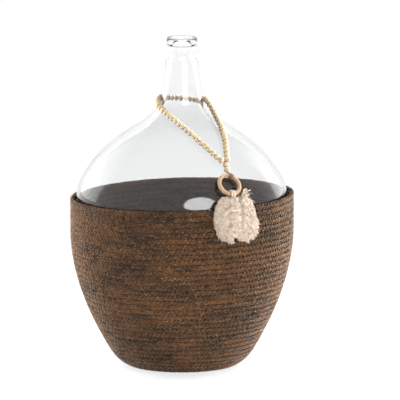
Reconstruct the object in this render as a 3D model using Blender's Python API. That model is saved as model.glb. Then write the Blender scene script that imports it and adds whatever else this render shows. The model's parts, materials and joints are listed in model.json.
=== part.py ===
"""Glass carboy vase in a coiled plait basket, with a wooden bead garland, a wooden ring and a tassel.

Metres, +Z up, front towards -Y. The origin is on the floor, on the basket's axis.
Azimuths are degrees from the front, positive towards +X.
"""
import math

import bmesh
import bpy
import numpy as np
from mathutils import Vector

# Fits between pieces
REST_GAP = 0.0003            # between pieces that rest on or lie against each other
BOTTLE_FIT_GAP = 0.0018      # between the bottle's side and the inside of the basket
BEAD_SEAT_GAP = 0.0005       # between a bead and the glass it lies on
BEAD_GAP = 0.0003            # least gap between neighbouring beads
BORE_PLAY = 0.0005           # round the string inside a bead
LOOP_PLAY = 0.0008           # round the ring's bar inside the tassel's loop
TASSEL_GAP = 0.0005          # between the tassel and the basket it hangs against

# Bottle
BOTTLE_RADIUS = 0.1520
BOTTLE_HEIGHT = 0.4680       # foot to lip
BOTTLE_FOOT_RADIUS = 0.0640
FOOT_LAND = 0.0080           # width of the ring that the bottle stands on
PUNT_HEIGHT = 0.0090
HEEL_HEIGHT = 0.0220
SIDE_FOOT_RADIUS = 0.0830    # where the side curve would meet the bottle's foot plane
SIDE_POWER = 1.85
BELLY_HEIGHT = 0.1900
SHOULDER_START = 0.2390
SHOULDER_RISE = 0.1205
SHOULDER_POWER = 1.63
SHOULDER_END_RADIUS = 0.0942
FILLET_REACH_LOW = 0.0333
FILLET_REACH_HIGH = 0.0164
NECK_ROOT_RADIUS = 0.0296
NECK_ROOT_HEIGHT = 0.3776
NECK_TAPER = 0.0900          # radius lost per unit of height at the root
NECK_TOP_RADIUS = 0.0223
FINISH_DROP = 0.0292         # lip to the underside of the finish
COLLAR_RADIUS = 0.0238
COLLAR_HEIGHT = 0.0165
LIP_RADIUS = 0.0218
LIP_ROUND = 0.0015
BODY_WALL = 0.0030
NECK_WALL = 0.0075
BOTTOM_WALL = 0.0055

# Basket
PLAIT_WIDTH = 0.0077         # height of one row of the coil
PLAIT_THICKNESS = 0.0075
PLAIT_RELIEF = 0.0013        # depth of the groove between two rows
BASKET_HEIGHT = 0.2480
BASKET_FOOT_RADIUS = 0.0760
BASKET_HEEL_CORNER = 0.0180  # outward reach of the heel's corner from the foot
BASKET_HEEL_LIFT = 0.0065    # height of that corner
RIM_ROUND = 0.0022
RIM_SLOPE = 0.0280           # the hand-sewn rim climbs this much per unit of x

# Garland
BEAD_DIAMETER = 0.0088       # across the string
BEAD_LENGTH = 0.0077         # along the string
STRING_DIAMETER = 0.0010
LOOSE_BEADS = 46             # beads modelled one by one, the rest are fused to the string at the back
JUNCTION_AZIMUTH = 30.4
JUNCTION_DROP = 0.0742       # below the neck's root
# Route of the string from the junction over the left, round the back and down the right:
# azimuth in degrees, drop below the neck's root, lift off the glass.
GARLAND_ROUTE = (
    (28.9, 0.0743, 0.0),
    (25.6, 0.0673, 0.0),
    (19.4, 0.0529, 0.0),
    (11.1, 0.0399, 0.0),
    (-1.8, 0.0275, 0.0),
    (-15.1, 0.0197, 0.0),
    (-34.6, 0.0126, 0.0),
    (-52.0, 0.0083, 0.0),
    (-72.0, 0.0042, 0.0),
    (-92.0, 0.0008, 0.0),
    (-112.0, -0.0018, 0.0),
    (-130.0, -0.0020, 0.0),
    (-151.0, -0.0006, 0.0),
    (-170.0, 0.0003, 0.0),
    (-193.0, 0.0008, 0.0),
    (-212.0, 0.0016, 0.0),
    (-229.0, 0.0018, 0.0),
    (-243.0, 0.0012, 0.0),
    (-256.0, 0.0004, 0.0),
    (-267.0, 0.0012, 0.0010),
    (-275.4, 0.0060, 0.0018),
    (-281.6, 0.0117, 0.0015),
    (-288.4, 0.0167, 0.0007),
    (-294.0, 0.0215, 0.0),
    (-300.0, 0.0259, 0.0),
    (-304.3, 0.0307, 0.0),
    (-312.5, 0.0397, 0.0),
    (-318.3, 0.0489, 0.0),
    (-323.2, 0.0581, 0.0),
    (-326.3, 0.0673, 0.0),
    (-327.9, 0.0743, 0.0),
)

PENDANT_GAP = 0.0010         # bare cord between the pendant's two beads
PENDANT_END_GAP = 0.0006     # and at each end of them

# Ring and its hitch
RING_DIAMETER = 0.0365
BAR_DIAMETER = 0.0056
RING_AZIMUTH = 27.5
RING_TILT = 8.0              # degrees that the tassel's loop, behind the lower bar, leans the ring off the glass
HITCH_TURNS = 4
HITCH_CORD = 0.0011
HITCH_SPREAD = 31.0          # degrees of the ring that the hitch covers
HITCH_TURN_START = 20.0      # where the string meets the bar, from the ring's outer edge

# Tassel
HANG_TURN = 172.0            # where the tassel's loop sits round the ring, from its top to the right
TASSEL_SLANT = 0.045         # the spine leans this much to the right per unit of length
LOOP_THICKNESS = 0.0026
LOOP_WIDTH = 0.0070
SPINE_KNOTS = 6
SPINE_WIDTH = 0.0130
SPINE_THICKNESS = 0.0058
SPINE_LENGTH = 0.0560
KNOT_SWELL = 0.14            # share by which each knot is wider than the waist between two
FRINGE_THICKNESS = 0.0040
FRINGE_VALLEY = 0.96         # reach of the valleys between tufts, as a share of the tufts' own
BEND_RISE = 0.0130           # height of the drape's control point above the rim
BEND_FALL = 0.0090           # where the drape hangs straight, below the rim
# Tips of the combed tufts: across from the spine, and down the drape from the ring's bar.
LEFT_TUFTS = ((-0.0178, 0.0050), (-0.0290, 0.0145), (-0.0338, 0.0280), (-0.0356, 0.0440),
              (-0.0335, 0.0565), (-0.0225, 0.0688), (-0.0060, 0.0744))
RIGHT_TUFTS = ((0.0205, 0.0075), (0.0300, 0.0155), (0.0326, 0.0280), (0.0366, 0.0420),
               (0.0415, 0.0515), (0.0385, 0.0612), (0.0265, 0.0722), (0.0095, 0.0716))
TAIL_ROOT = (0.0125, 0.0090)
TAIL_TIP = (0.0285, -0.0040)
TAIL_DIAMETER = 0.0045

# Facets
TURN_STEPS = 30              # round the bottle and the basket
BEAD_STEPS = 8
BEAD_BANDS = 4
RING_STEPS = 24
BAR_STEPS = 8
CORD_STEPS = 8
HITCH_TURN_STEPS = 9
HITCH_CORD_STEPS = 5
LOOP_STEPS = 12
WALL_LEVELS = 14             # of the basket's plain inside

SEPARATION = 1e-6            # points nearer than this are one

# Values that follow
BEAD_RADIUS = BEAD_DIAMETER / 2
STRING_RADIUS = STRING_DIAMETER / 2
BAR_RADIUS = BAR_DIAMETER / 2
RING_RADIUS = (RING_DIAMETER - BAR_DIAMETER) / 2
HITCH_RADIUS = BAR_RADIUS + REST_GAP + HITCH_CORD / 2
JOINT_SPACE = STRING_RADIUS + REST_GAP
BOTTLE_BASE = PLAIT_THICKNESS + REST_GAP
RING_LIFT = BAR_RADIUS + LOOP_PLAY + LOOP_THICKNESS + REST_GAP
UP = Vector((0.0, 0.0, 1.0))


def clear_scene():
    for item in list(bpy.data.objects):
        bpy.data.objects.remove(item, do_unlink=True)


# Lines in the turning plane, as arrays of (radius, height)
def curve(controls, count):
    """Points on a Bezier curve of two or three spans' worth of controls."""
    controls = [np.array(c, float) for c in controls]
    degree = len(controls) - 1
    share = np.linspace(0.0, 1.0, count)[:, None]
    total = 0.0
    for k, control in enumerate(controls):
        total = total + math.comb(degree, k) * (1 - share) ** (degree - k) * share ** k * control
    return total


def joined(*lines):
    """One line through several, without doubling the points where they meet."""
    points = [lines[0][0]]
    for line in lines:
        for point in line:
            if np.hypot(*(point - points[-1])) > SEPARATION:
                points.append(point)
    return np.array(points)


def line_normals(line):
    """Unit normals on the right of a line, which is outward where it climbs the outside."""
    along = np.gradient(line, axis=0)
    along /= np.hypot(along[:, 0], along[:, 1])[:, None]
    return np.column_stack((along[:, 1], -along[:, 0]))


def offset(line, distance):
    """The line moved to its right by a distance, or by one distance for each point."""
    return line + line_normals(line) * np.reshape(distance, (-1, 1))


def side_line(count):
    """The bottle's side from the top of its heel to its belly."""
    height = np.linspace(HEEL_HEIGHT, BELLY_HEIGHT, count)
    fall = (1 - height / BELLY_HEIGHT) ** SIDE_POWER
    radius = BOTTLE_RADIUS - (BOTTLE_RADIUS - SIDE_FOOT_RADIUS) * fall
    return np.column_stack((radius, height))


def heel_line(count):
    low, above = side_line(400)[:2]
    slope = (above[0] - low[0]) / (above[1] - low[1])
    corner = (low[0] - slope * low[1], 0.0)
    return curve(((BOTTLE_FOOT_RADIUS, 0.0), corner, low), count)


def shoulder_line(count):
    """Superellipse from the belly up to where the neck's fillet takes over."""
    end_turn = math.acos((SHOULDER_END_RADIUS / BOTTLE_RADIUS) ** (SHOULDER_POWER / 2))
    turn = np.linspace(0.0, end_turn, count)
    radius = BOTTLE_RADIUS * np.cos(turn) ** (2 / SHOULDER_POWER)
    height = SHOULDER_START + SHOULDER_RISE * np.sin(turn) ** (2 / SHOULDER_POWER)
    return np.column_stack((radius, height))


def fillet_line(count):
    """Concave sweep from the shoulder into the neck."""
    fine = shoulder_line(200)
    start = fine[-1]
    leave = (fine[-1] - fine[-2]) / np.hypot(*(fine[-1] - fine[-2]))
    end = np.array((NECK_ROOT_RADIUS, NECK_ROOT_HEIGHT))
    arrive = np.array((-NECK_TAPER, 1.0)) / math.hypot(NECK_TAPER, 1.0)
    return curve((start, start + leave * FILLET_REACH_LOW, end - arrive * FILLET_REACH_HIGH, end), count)


def neck_line(count):
    low = (NECK_ROOT_RADIUS, NECK_ROOT_HEIGHT)
    high = (NECK_TOP_RADIUS, BOTTLE_HEIGHT - FINISH_DROP)
    middle_height = (low[1] + high[1]) / 2
    middle = (NECK_ROOT_RADIUS - NECK_TAPER * (middle_height - low[1]), middle_height)
    return curve((low, middle, high), count)


def finish_line():
    """Collar and lip, from the top of the neck to the mouth's edge."""
    base = BOTTLE_HEIGHT - FINISH_DROP
    top = base + COLLAR_HEIGHT
    swell = curve(((NECK_TOP_RADIUS, base), (COLLAR_RADIUS, base + COLLAR_HEIGHT * 0.1),
                   (COLLAR_RADIUS, base + COLLAR_HEIGHT * 0.5)), 4)
    fall = curve(((COLLAR_RADIUS, base + COLLAR_HEIGHT * 0.5), (COLLAR_RADIUS, top - LIP_ROUND),
                  (LIP_RADIUS - LIP_ROUND / 2, top)), 4)
    lip = np.array(((LIP_RADIUS, top + LIP_ROUND), (LIP_RADIUS, BOTTLE_HEIGHT - LIP_ROUND),
                    (LIP_RADIUS - LIP_ROUND, BOTTLE_HEIGHT)))
    return joined(swell, fall, lip)


def wall_at(line):
    """Glass thickness: the body's wall, growing to the neck's wall above the shoulder."""
    share = (line[:, 1] - NECK_ROOT_HEIGHT + FILLET_REACH_LOW) / (BOTTLE_HEIGHT - NECK_ROOT_HEIGHT)
    return BODY_WALL + (NECK_WALL - BODY_WALL) * np.clip(share, 0.0, 1.0)


def bottle_outside(detail):
    return joined(heel_line(3 * detail + 1), side_line(3 * detail + 1), shoulder_line(5 * detail + 1),
                  fillet_line(8 * detail + 1), neck_line(detail + 1))


def bottle_outline():
    """Closed outline of the hollow bottle's wall, standing at height 0."""
    outside = joined(bottle_outside(1), finish_line())
    inside_guide = joined(heel_line(3), side_line(4), shoulder_line(5), fillet_line(6), neck_line(2))[1:]
    inside = offset(inside_guide, -wall_at(inside_guide))
    inside = inside[::-1]
    bore = inside[0][0]
    land = BOTTLE_FOOT_RADIUS - FOOT_LAND
    dome_top = PUNT_HEIGHT + BOTTOM_WALL
    underside = np.array(((0.0, PUNT_HEIGHT), (land * 0.6, PUNT_HEIGHT * 0.6), (land, 0.0)))
    floor = np.array(((land, BOTTOM_WALL + PUNT_HEIGHT * 0.2), (land * 0.6, dome_top - PUNT_HEIGHT * 0.4),
                      (0.0, dome_top)))
    mouth = np.array(((bore, BOTTLE_HEIGHT),))
    return np.vstack((underside, outside, mouth, inside, floor))


def basket_outside(count):
    """Outer face of the basket's wall, foot to rim, wrapped round the bottle's own side."""
    wrap = BOTTLE_FIT_GAP + PLAIT_THICKNESS
    side = side_line(60)
    side = offset(side, wrap) + np.array((0.0, BOTTLE_BASE))
    rise = np.array(((side[-1][0], BASKET_HEIGHT - RIM_ROUND),))
    foot = (BASKET_FOOT_RADIUS, 0.0)
    corner = (BASKET_FOOT_RADIUS + BASKET_HEEL_CORNER, BASKET_HEEL_LIFT)
    heel = curve((foot, corner, side[0]), 16)
    return even_line(joined(heel, side, rise), count)


def even_line(line, count):
    """The line again, with its points at equal steps along it."""
    travel = np.concatenate(((0.0,), np.cumsum(np.linalg.norm(np.diff(line, axis=0), axis=1))))
    stops = np.linspace(0.0, travel[-1], count)
    return np.column_stack([np.interp(stops, travel, line[:, k]) for k in range(line.shape[1])])


def rim_corner(azimuth):
    """The outer corner of the basket's rim at an azimuth."""
    place = outward(azimuth) * float(basket_outside(400)[-1, 0])
    return place + UP * (BASKET_HEIGHT + RIM_SLOPE * place.x)


# Places on the glass above the belly
GLASS = joined(shoulder_line(160), fillet_line(160), neck_line(40)) + np.array((0.0, BOTTLE_BASE))
GLASS_NORMALS = line_normals(GLASS)


def outward(azimuth):
    turn = math.radians(azimuth)
    return Vector((math.sin(turn), -math.cos(turn), 0.0))


def rightward(azimuth):
    """Level direction to the right of someone facing the part at that azimuth."""
    turn = math.radians(azimuth)
    return Vector((math.cos(turn), math.sin(turn), 0.0))


def on_glass(azimuth, height, lift):
    """The point at a height that clears the bottle's outside by a lift, and the glass's normal there."""
    lifted = GLASS + GLASS_NORMALS * lift
    radius = np.interp(height, lifted[:, 1], lifted[:, 0])
    lean_out = np.interp(height, lifted[:, 1], GLASS_NORMALS[:, 0])
    lean_up = np.interp(height, lifted[:, 1], GLASS_NORMALS[:, 1])
    normal = (outward(azimuth) * lean_out + UP * lean_up).normalized()
    return outward(azimuth) * radius + UP * height, normal


def azimuth_of(point):
    return math.degrees(math.atan2(point.x, -point.y))


def height_below(point, azimuth, lift, distance):
    """Height of the place on the glass that lies a distance down from a point."""
    high = point.z
    low = point.z - 2 * distance
    for _ in range(40):
        middle = (high + low) / 2
        if (on_glass(azimuth, middle, lift)[0] - point).length < distance:
            high = middle
        else:
            low = middle
    return (high + low) / 2


# Meshes
def finish_mesh(name, shape):
    bmesh.ops.remove_doubles(shape, verts=shape.verts, dist=SEPARATION)
    bmesh.ops.recalc_face_normals(shape, faces=shape.faces)
    mesh = bpy.data.meshes.new(name)
    shape.to_mesh(mesh)
    shape.free()
    mesh.shade_smooth()
    mesh.set_sharp_from_angle(angle=math.radians(50))
    return mesh


def turned(name, outline, steps):
    """Solid of revolution about Z from a closed outline of (radius, height)."""
    shape = bmesh.new()
    corners = [shape.verts.new((radius, 0.0, height)) for radius, height in outline]
    edges = []
    for k, corner in enumerate(corners):
        following = corners[(k + 1) % len(corners)]
        on_axis = corner.co.x < SEPARATION and following.co.x < SEPARATION
        if not on_axis:
            edges.append(shape.edges.new((corner, following)))
    bmesh.ops.spin(shape, geom=corners + edges, cent=(0, 0, 0), axis=(0, 0, 1),
                   angle=2 * math.pi, steps=steps, use_merge=True)
    bmesh.ops.remove_doubles(shape, verts=shape.verts, dist=SEPARATION)
    bmesh.ops.recalc_face_normals(shape, faces=shape.faces)
    return finish_mesh(name, shape)


def loft(shape, rings, closed=False):
    """Skin through rings of equal count, closed on itself or with a face at both ends."""
    rows = [[shape.verts.new(point) for point in ring] for ring in rings]
    following = rows[1:] + rows[:1] if closed else rows[1:]
    for low, high in zip(rows, following):
        for k in range(len(low)):
            after = (k + 1) % len(low)
            shape.faces.new((low[k], low[after], high[after], high[k]))
    if not closed:
        shape.faces.new(rows[0][::-1])
        shape.faces.new(rows[-1])


def ring_about(point, along, side, radius, steps):
    """Points round an axis, the first of them towards the side direction."""
    side = (side - along * side.dot(along)).normalized()
    across = along.cross(side)
    turns = [2 * math.pi * n / steps for n in range(steps)]
    return [point + (side * math.cos(t) + across * math.sin(t)) * radius for t in turns]


def tube_rings(points, radius, steps, side):
    """Rings of a round tube along points, turned from a first side direction without twist."""
    rings = []
    for k, point in enumerate(points):
        before = points[max(k - 1, 0)]
        after = points[min(k + 1, len(points) - 1)]
        along = (after - before).normalized()
        side = (side - along * side.dot(along)).normalized()
        rings.append(ring_about(point, along, side, radius, steps))
    return rings


def smooth_route(points, fineness):
    """Catmull-Rom curve through points in space."""
    points = [np.array(p) for p in points]
    ends = [2 * points[0] - points[1]] + points + [2 * points[-1] - points[-2]]
    route = []
    for a, b, c, d in zip(ends, ends[1:], ends[2:], ends[3:]):
        for k in range(fineness):
            t = k / fineness
            route.append(0.5 * (2 * b + (c - a) * t + (2 * a - 5 * b + 4 * c - d) * t ** 2
                                + (3 * b - a - 3 * c + d) * t ** 3))
    route.append(points[-1])
    return np.array(route)


# Pieces, materials and the empties that carry what moves
def material(name, colour, roughness, transmission=0.0):
    made = bpy.data.materials.new(name)
    made.use_nodes = True
    shader = made.node_tree.nodes["Principled BSDF"]
    shader.inputs["Base Color"].default_value = (*colour, 1.0)
    shader.inputs["Roughness"].default_value = roughness
    shader.inputs["Metallic"].default_value = 0.0
    shader.inputs["Transmission Weight"].default_value = transmission
    return made


def carrier(name, place, parent=None):
    """Empty on a joint's axis, which the pieces of one body hang from."""
    empty = bpy.data.objects.new(name, None)
    empty.empty_display_size = 0.02
    bpy.context.scene.collection.objects.link(empty)
    put(empty, place, parent)
    return empty


def world_place(item):
    place = Vector(item.location)
    while item.parent:
        item = item.parent
        place += Vector(item.location)
    return place


def put(item, place, parent):
    item.parent = parent
    item.location = Vector(place) - (world_place(parent) if parent else Vector())


def add_piece(name, mesh, finish, parent, place=(0.0, 0.0, 0.0), turn=None):
    """Object for one piece; its mesh is in its own coordinates about its place."""
    if not mesh.materials:
        mesh.materials.append(finish)
    piece = bpy.data.objects.new(name, mesh)
    bpy.context.scene.collection.objects.link(piece)
    put(piece, place, parent)
    if turn is not None:
        piece.rotation_mode = "QUATERNION"
        piece.rotation_quaternion = turn
    return piece


def moved_mesh(name, shape, place):
    """Finished mesh of a shape drawn in the part's frame, about a place."""
    bmesh.ops.translate(shape, verts=shape.verts, vec=-Vector(place))
    return finish_mesh(name, shape)


# Basket
def lean(radius, turn, height):
    """A point of the basket, raised on the side where the sewn rows climb."""
    x = radius * math.cos(turn)
    y = radius * math.sin(turn)
    return Vector((x, y, height + RIM_SLOPE * x * height / BASKET_HEIGHT))


def basket_wall_mesh():
    """Wall with one ridge per row of the coil; the ridges climb as a helix and run out at both edges."""
    line = basket_outside(400)
    length = float(np.sum(np.linalg.norm(np.diff(line, axis=0), axis=1)))
    rows = round(length / PLAIT_WIDTH)
    pitch = length / rows
    travel = np.linspace(0.0, length, len(line))
    normals = line_normals(line)

    def face_point(column, distance, depth):
        radius, height, out, up = (np.interp(distance, travel, values)
                                   for values in (line[:, 0], line[:, 1], normals[:, 0], normals[:, 1]))
        return lean(radius - out * depth, 2 * math.pi * column / TURN_STEPS, max(height - up * depth, 0.0))

    shape = bmesh.new()
    least = pitch * 0.12
    samples = 2 * (rows + 1)
    foot = [shape.verts.new(face_point(c, 0.0, 0.0)) for c in range(TURN_STEPS)]
    edge = [shape.verts.new(face_point(c, length, PLAIT_RELIEF / 2)) for c in range(TURN_STEPS)]
    columns = []
    for column in range(TURN_STEPS):
        corners = []
        for sample in range(samples + 3):
            distance = (sample / 2 + column / TURN_STEPS - 1) * pitch
            if distance < least:
                corners.append(foot[column])
            elif distance > length - least:
                corners.append(edge[column])
            else:
                depth = PLAIT_RELIEF if sample % 2 == 0 else 0.0
                corners.append(shape.verts.new(face_point(column, distance, depth)))
        columns.append(corners)
    for column in range(TURN_STEPS):
        here = columns[column]
        step = 2 if column == TURN_STEPS - 1 else 0
        beside = columns[(column + 1) % TURN_STEPS]
        for sample in range(samples + 2 - step):
            ring = (here[sample], beside[sample + step], beside[sample + step + 1], here[sample + 1])
            corners = [v for k, v in enumerate(ring) if v is not ring[k - 1]]
            if len(set(corners)) > 2:
                shape.faces.new(corners)

    inner = even_line(offset(line, -PLAIT_THICKNESS), WALL_LEVELS)
    inner[-1][1] = BASKET_HEIGHT - RIM_ROUND
    crown = np.array((line[-1][0] - PLAIT_THICKNESS / 2, BASKET_HEIGHT))
    loops = [[shape.verts.new(lean(radius, 2 * math.pi * c / TURN_STEPS, height))
              for c in range(TURN_STEPS)] for radius, height in np.vstack((inner, crown))]
    loops = [foot] + loops + [edge]
    for low, high in zip(loops, loops[1:]):
        for c in range(TURN_STEPS):
            after = (c + 1) % TURN_STEPS
            shape.faces.new((low[c], high[c], high[after], low[after]))
    return finish_mesh("basket_wall", shape)


def basket_base_mesh():
    """Round mat of the coil's first turns, which the wall is sewn on to."""
    foot_normal = line_normals(basket_outside(400))[0]
    edge_low = BASKET_FOOT_RADIUS - REST_GAP
    edge_high = edge_low - foot_normal[0] * PLAIT_THICKNESS
    outline = ((0.0, 0.0), (edge_low, 0.0), (edge_high, PLAIT_THICKNESS), (0.0, PLAIT_THICKNESS))
    return turned("basket_base", outline, TURN_STEPS)


# Garland
def garland_points():
    """String points from one end of the loop of beads to the other, one bead between each two."""
    root = NECK_ROOT_HEIGHT + BOTTLE_BASE
    lift = BEAD_RADIUS + BEAD_SEAT_GAP
    stops = [on_glass(azimuth, root - drop, lift + extra)[0] for azimuth, drop, extra in GARLAND_ROUTE]
    route = smooth_route(stops, 24)
    length = float(np.sum(np.linalg.norm(np.diff(route, axis=0), axis=1)))
    beads = int(length / (BEAD_LENGTH + BEAD_GAP))
    return [Vector(point) for point in even_line(route, beads + 1)]


def bead_mesh(name):
    """Turned bead with a bore along Z that the string passes with play."""
    bore = STRING_RADIUS + BORE_PLAY
    start = math.asin(bore / BEAD_RADIUS)
    turns = np.linspace(start, math.pi - start, BEAD_BANDS + 1)
    outline = [(BEAD_RADIUS * math.sin(t), -BEAD_LENGTH / 2 * math.cos(t)) for t in turns]
    return turned(name, outline, BEAD_STEPS)


def glass_side(point):
    """Direction away from the glass at a point of the string."""
    return on_glass(azimuth_of(point), point.z, 0.0)[1]


def build_garland(parent, wood, twine, junction):
    """Loose beads on a string that is one closed loop; the beads hidden at the back are part of the string."""
    points = garland_points()
    centres = [(a + b) / 2 for a, b in zip(points, points[1:])]
    front_first = sorted(range(len(centres)), key=lambda k: centres[k].y)
    loose = sorted(front_first[:LOOSE_BEADS])
    mesh = bead_mesh("garland_bead")
    for number, k in enumerate(loose, start=1):
        turn = (points[k + 1] - points[k]).to_track_quat("Z", "Y")
        add_piece(f"bead_{number:02d}", mesh, wood, parent, centres[k], turn)

    spread = (points[0] - points[-1]).normalized() * STRING_DIAMETER
    loop = points + [junction - spread + UP * STRING_RADIUS, junction, junction + spread + UP * STRING_RADIUS]
    profile = [(-math.cos(t), math.sin(t)) for t in np.linspace(0.0, math.pi, BEAD_BANDS + 1)]
    profile[0] = (-1.0, STRING_RADIUS / BEAD_RADIUS)
    profile[-1] = (1.0, STRING_RADIUS / BEAD_RADIUS)
    rings = []
    for k, point in enumerate(loop):
        after = loop[(k + 1) % len(loop)]
        along = (after - loop[k - 1]).normalized()
        rings.append(ring_about(point, along, glass_side(point), STRING_RADIUS, BEAD_STEPS))
        if k < len(centres) and k not in loose:
            axis = (after - point).normalized()
            side = glass_side(centres[k])
            rings += [ring_about(centres[k] + axis * BEAD_LENGTH / 2 * far, axis, side, BEAD_RADIUS * wide,
                                 BEAD_STEPS) for far, wide in profile]
    shape = bmesh.new()
    loft(shape, rings, closed=True)
    add_piece("bead_string", moved_mesh("bead_string", shape, junction), twine, parent, junction)
    total = sum((after - point).length for point, after in zip(loop, loop[1:] + loop[:1]))
    print(f"bead_string: {total * 1000:.0f} mm round, {len(centres)} beads, {len(loose)} of them loose")


def build_pendant(parent, wood, twine, junction, ring_joint):
    """Two beads on the short string between the garland's knot and the ring's hitch."""
    along = ring_joint - junction
    reach = along.length
    turn = along.to_track_quat("Z", "Y")
    spacing = BEAD_LENGTH + PENDANT_GAP
    first = (reach - spacing) / 2
    mesh = bead_mesh("pendant_bead")
    for number in range(2):
        centre = junction + along.normalized() * (first + spacing * number)
        add_piece(f"pendant_bead_{number + 1}", mesh, wood, parent, centre, turn)
    turns = np.linspace(0.0, math.pi / 2, 4)
    end = [(STRING_RADIUS * math.cos(t), reach + STRING_RADIUS * math.sin(t)) for t in turns]
    outline = [(0.0, JOINT_SPACE), (STRING_RADIUS, JOINT_SPACE)] + end[:-1] + [(0.0, reach + STRING_RADIUS)]
    string = turned("pendant_string", outline, CORD_STEPS)
    add_piece("pendant_string", string, twine, parent, junction, turn)


# Ring
class RingFrame:
    """Where the ring lies against the shoulder: its centre and its own three directions."""

    def __init__(self, junction):
        pendant = 2 * (JOINT_SPACE + PENDANT_END_GAP + BEAD_LENGTH) + PENDANT_GAP
        start = math.radians(HITCH_TURN_START)
        self.joint_up = HITCH_RADIUS * math.cos(start) + JOINT_SPACE * math.sin(start)
        self.joint_out = HITCH_RADIUS * math.sin(start) - JOINT_SPACE * math.cos(start)
        distance = pendant + self.joint_up + RING_RADIUS
        height = height_below(junction, RING_AZIMUTH, RING_LIFT, distance)
        centre, self.out = on_glass(RING_AZIMUTH, height, RING_LIFT)
        towards = junction - centre
        self.up = (towards - self.out * towards.dot(self.out)).normalized()
        self.right = self.up.cross(self.out)
        self.lean_out(math.radians(RING_TILT))
        self.joint = centre + self.up * (RING_RADIUS + self.joint_up) + self.out * self.joint_out
        self.lie_on_rim()
        self.top = self.joint - self.up * self.joint_up - self.out * self.joint_out
        self.centre = self.top - self.up * RING_RADIUS
        turn = math.radians(HANG_TURN)
        self.hanger = self.bar_point(turn, 0.0, 0.0)
        self.hanger_axis = self.right * math.cos(turn) - self.up * math.sin(turn)

    def lie_on_rim(self):
        """Turns the ring out about its joint where it reaches the basket's rim, so that it lies over it."""
        rim = rim_corner(RING_AZIMUTH) - self.joint
        below = -rim.dot(self.up)
        behind = -rim.dot(self.out)
        clear = RING_LIFT + self.joint_out
        reach = self.joint_up + 2 * RING_RADIUS + RING_LIFT
        if 0 < below < reach and behind < clear:
            self.lean_out(math.asin(min(clear / math.hypot(below, behind), 1.0)) - math.atan2(behind, below))

    def lean_out(self, turn):
        """Turns the ring's plane so that its lower bar comes forward."""
        out = self.out * math.cos(turn) + self.up * math.sin(turn)
        self.up = self.up * math.cos(turn) - self.out * math.sin(turn)
        self.out = out

    def bar_point(self, turn, swing, distance):
        """A point round the bar: turn goes round the ring, swing round the bar from its outer edge."""
        radial = self.up * math.cos(turn) + self.right * math.sin(turn)
        side = radial * math.cos(swing) + self.out * math.sin(swing)
        return self.centre + radial * RING_RADIUS + side * distance


def build_ring(parent, wood, twine, ring):
    shape = bmesh.new()
    rows = []
    for n in range(RING_STEPS):
        turn = 2 * math.pi * n / RING_STEPS
        swings = [2 * math.pi * k / BAR_STEPS for k in range(BAR_STEPS)]
        rows.append([shape.verts.new(ring.bar_point(turn, s, BAR_RADIUS)) for s in swings])
    for n, row in enumerate(rows):
        beside = rows[(n + 1) % RING_STEPS]
        for k in range(BAR_STEPS):
            after = (k + 1) % BAR_STEPS
            shape.faces.new((row[k], row[after], beside[after], beside[k]))
    add_piece("wooden_ring", moved_mesh("wooden_ring", shape, ring.joint), wood, parent, ring.joint)

    hitch = bmesh.new()
    count = HITCH_TURNS * HITCH_TURN_STEPS + 1
    spread = math.radians(HITCH_SPREAD)
    start = math.radians(HITCH_TURN_START)
    winding = [ring.bar_point(spread * k / (count - 1), start + 2 * math.pi * HITCH_TURNS * k / (count - 1),
                              HITCH_RADIUS) for k in range(count)]
    gap = least_gap(winding, HITCH_CORD, HITCH_TURN_STEPS // 2 + 1)
    print(f"string_hitch: least gap between turns {gap * 1000:.2f} mm")
    loft(hitch, tube_rings(winding, HITCH_CORD / 2, HITCH_CORD_STEPS, ring.right))
    add_piece("string_hitch", moved_mesh("string_hitch", hitch, ring.joint), twine, parent, ring.joint)


def least_gap(points, diameter, skip):
    """Least clear gap between a winding's turns, measured on its points."""
    least = math.inf
    for k, point in enumerate(points):
        for other in points[k + skip:]:
            least = min(least, (other - point).length - diameter)
    return least


# Tassel
class Drape:
    """The line the tassel hangs along: from the ring's bar, over the rim, down the basket's wall."""

    def __init__(self, ring):
        self.azimuth = azimuth_of(ring.hanger)
        start = Vector((math.hypot(ring.hanger.x, ring.hanger.y), ring.hanger.z))
        self.wall = float(basket_outside(400)[:, 0].max()) + TASSEL_GAP
        hang = max(self.wall + SPINE_THICKNESS / 2, start.x)
        bend_top = min(BASKET_HEIGHT + BEND_RISE, start.y)
        low = -max(y for _, y in LEFT_TUFTS + RIGHT_TUFTS) - BASKET_HEIGHT
        bend = curve(((start.x, start.y), (hang, bend_top), (hang, bend_top - BEND_RISE - BEND_FALL)), 24)
        line = np.vstack((bend, ((hang, low),)))
        self.travel = np.concatenate(((0.0,), np.cumsum(np.linalg.norm(np.diff(line, axis=0), axis=1))))
        self.line = line
        self.normals = -line_normals(line)
        self.hang = hang

    def point(self, across, down, lift):
        """A point of the tassel: across to the right, down the drape, and lifted off its line."""
        radius = np.interp(down, self.travel, self.line[:, 0])
        height = np.interp(down, self.travel, self.line[:, 1])
        out = np.interp(down, self.travel, self.normals[:, 0])
        rise = np.interp(down, self.travel, self.normals[:, 1])
        if down < 0:
            along = (self.line[1] - self.line[0]) / self.travel[1]
            radius += along[0] * down
            height += along[1] * down
        azimuth = self.azimuth + math.degrees((across + TASSEL_SLANT * down) / self.hang)
        return outward(azimuth) * (radius + out * lift) + UP * (height + rise * lift)


def loop_radius():
    return BAR_RADIUS + LOOP_PLAY + LOOP_THICKNESS


def spine_half_width(down):
    """Half width of the knotted spine at a distance down the drape."""
    share = (down - spine_start()) / SPINE_LENGTH
    knot = 0.5 - 0.5 * math.cos(2 * math.pi * share * SPINE_KNOTS)
    taper = 0.72 + 0.28 * math.sin(math.pi * min(max(share * 0.9 + 0.12, 0.0), 1.0))
    return SPINE_WIDTH / 2 * taper * (1 - KNOT_SWELL * (1 - knot))


def spine_start():
    return loop_radius() + REST_GAP


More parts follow.
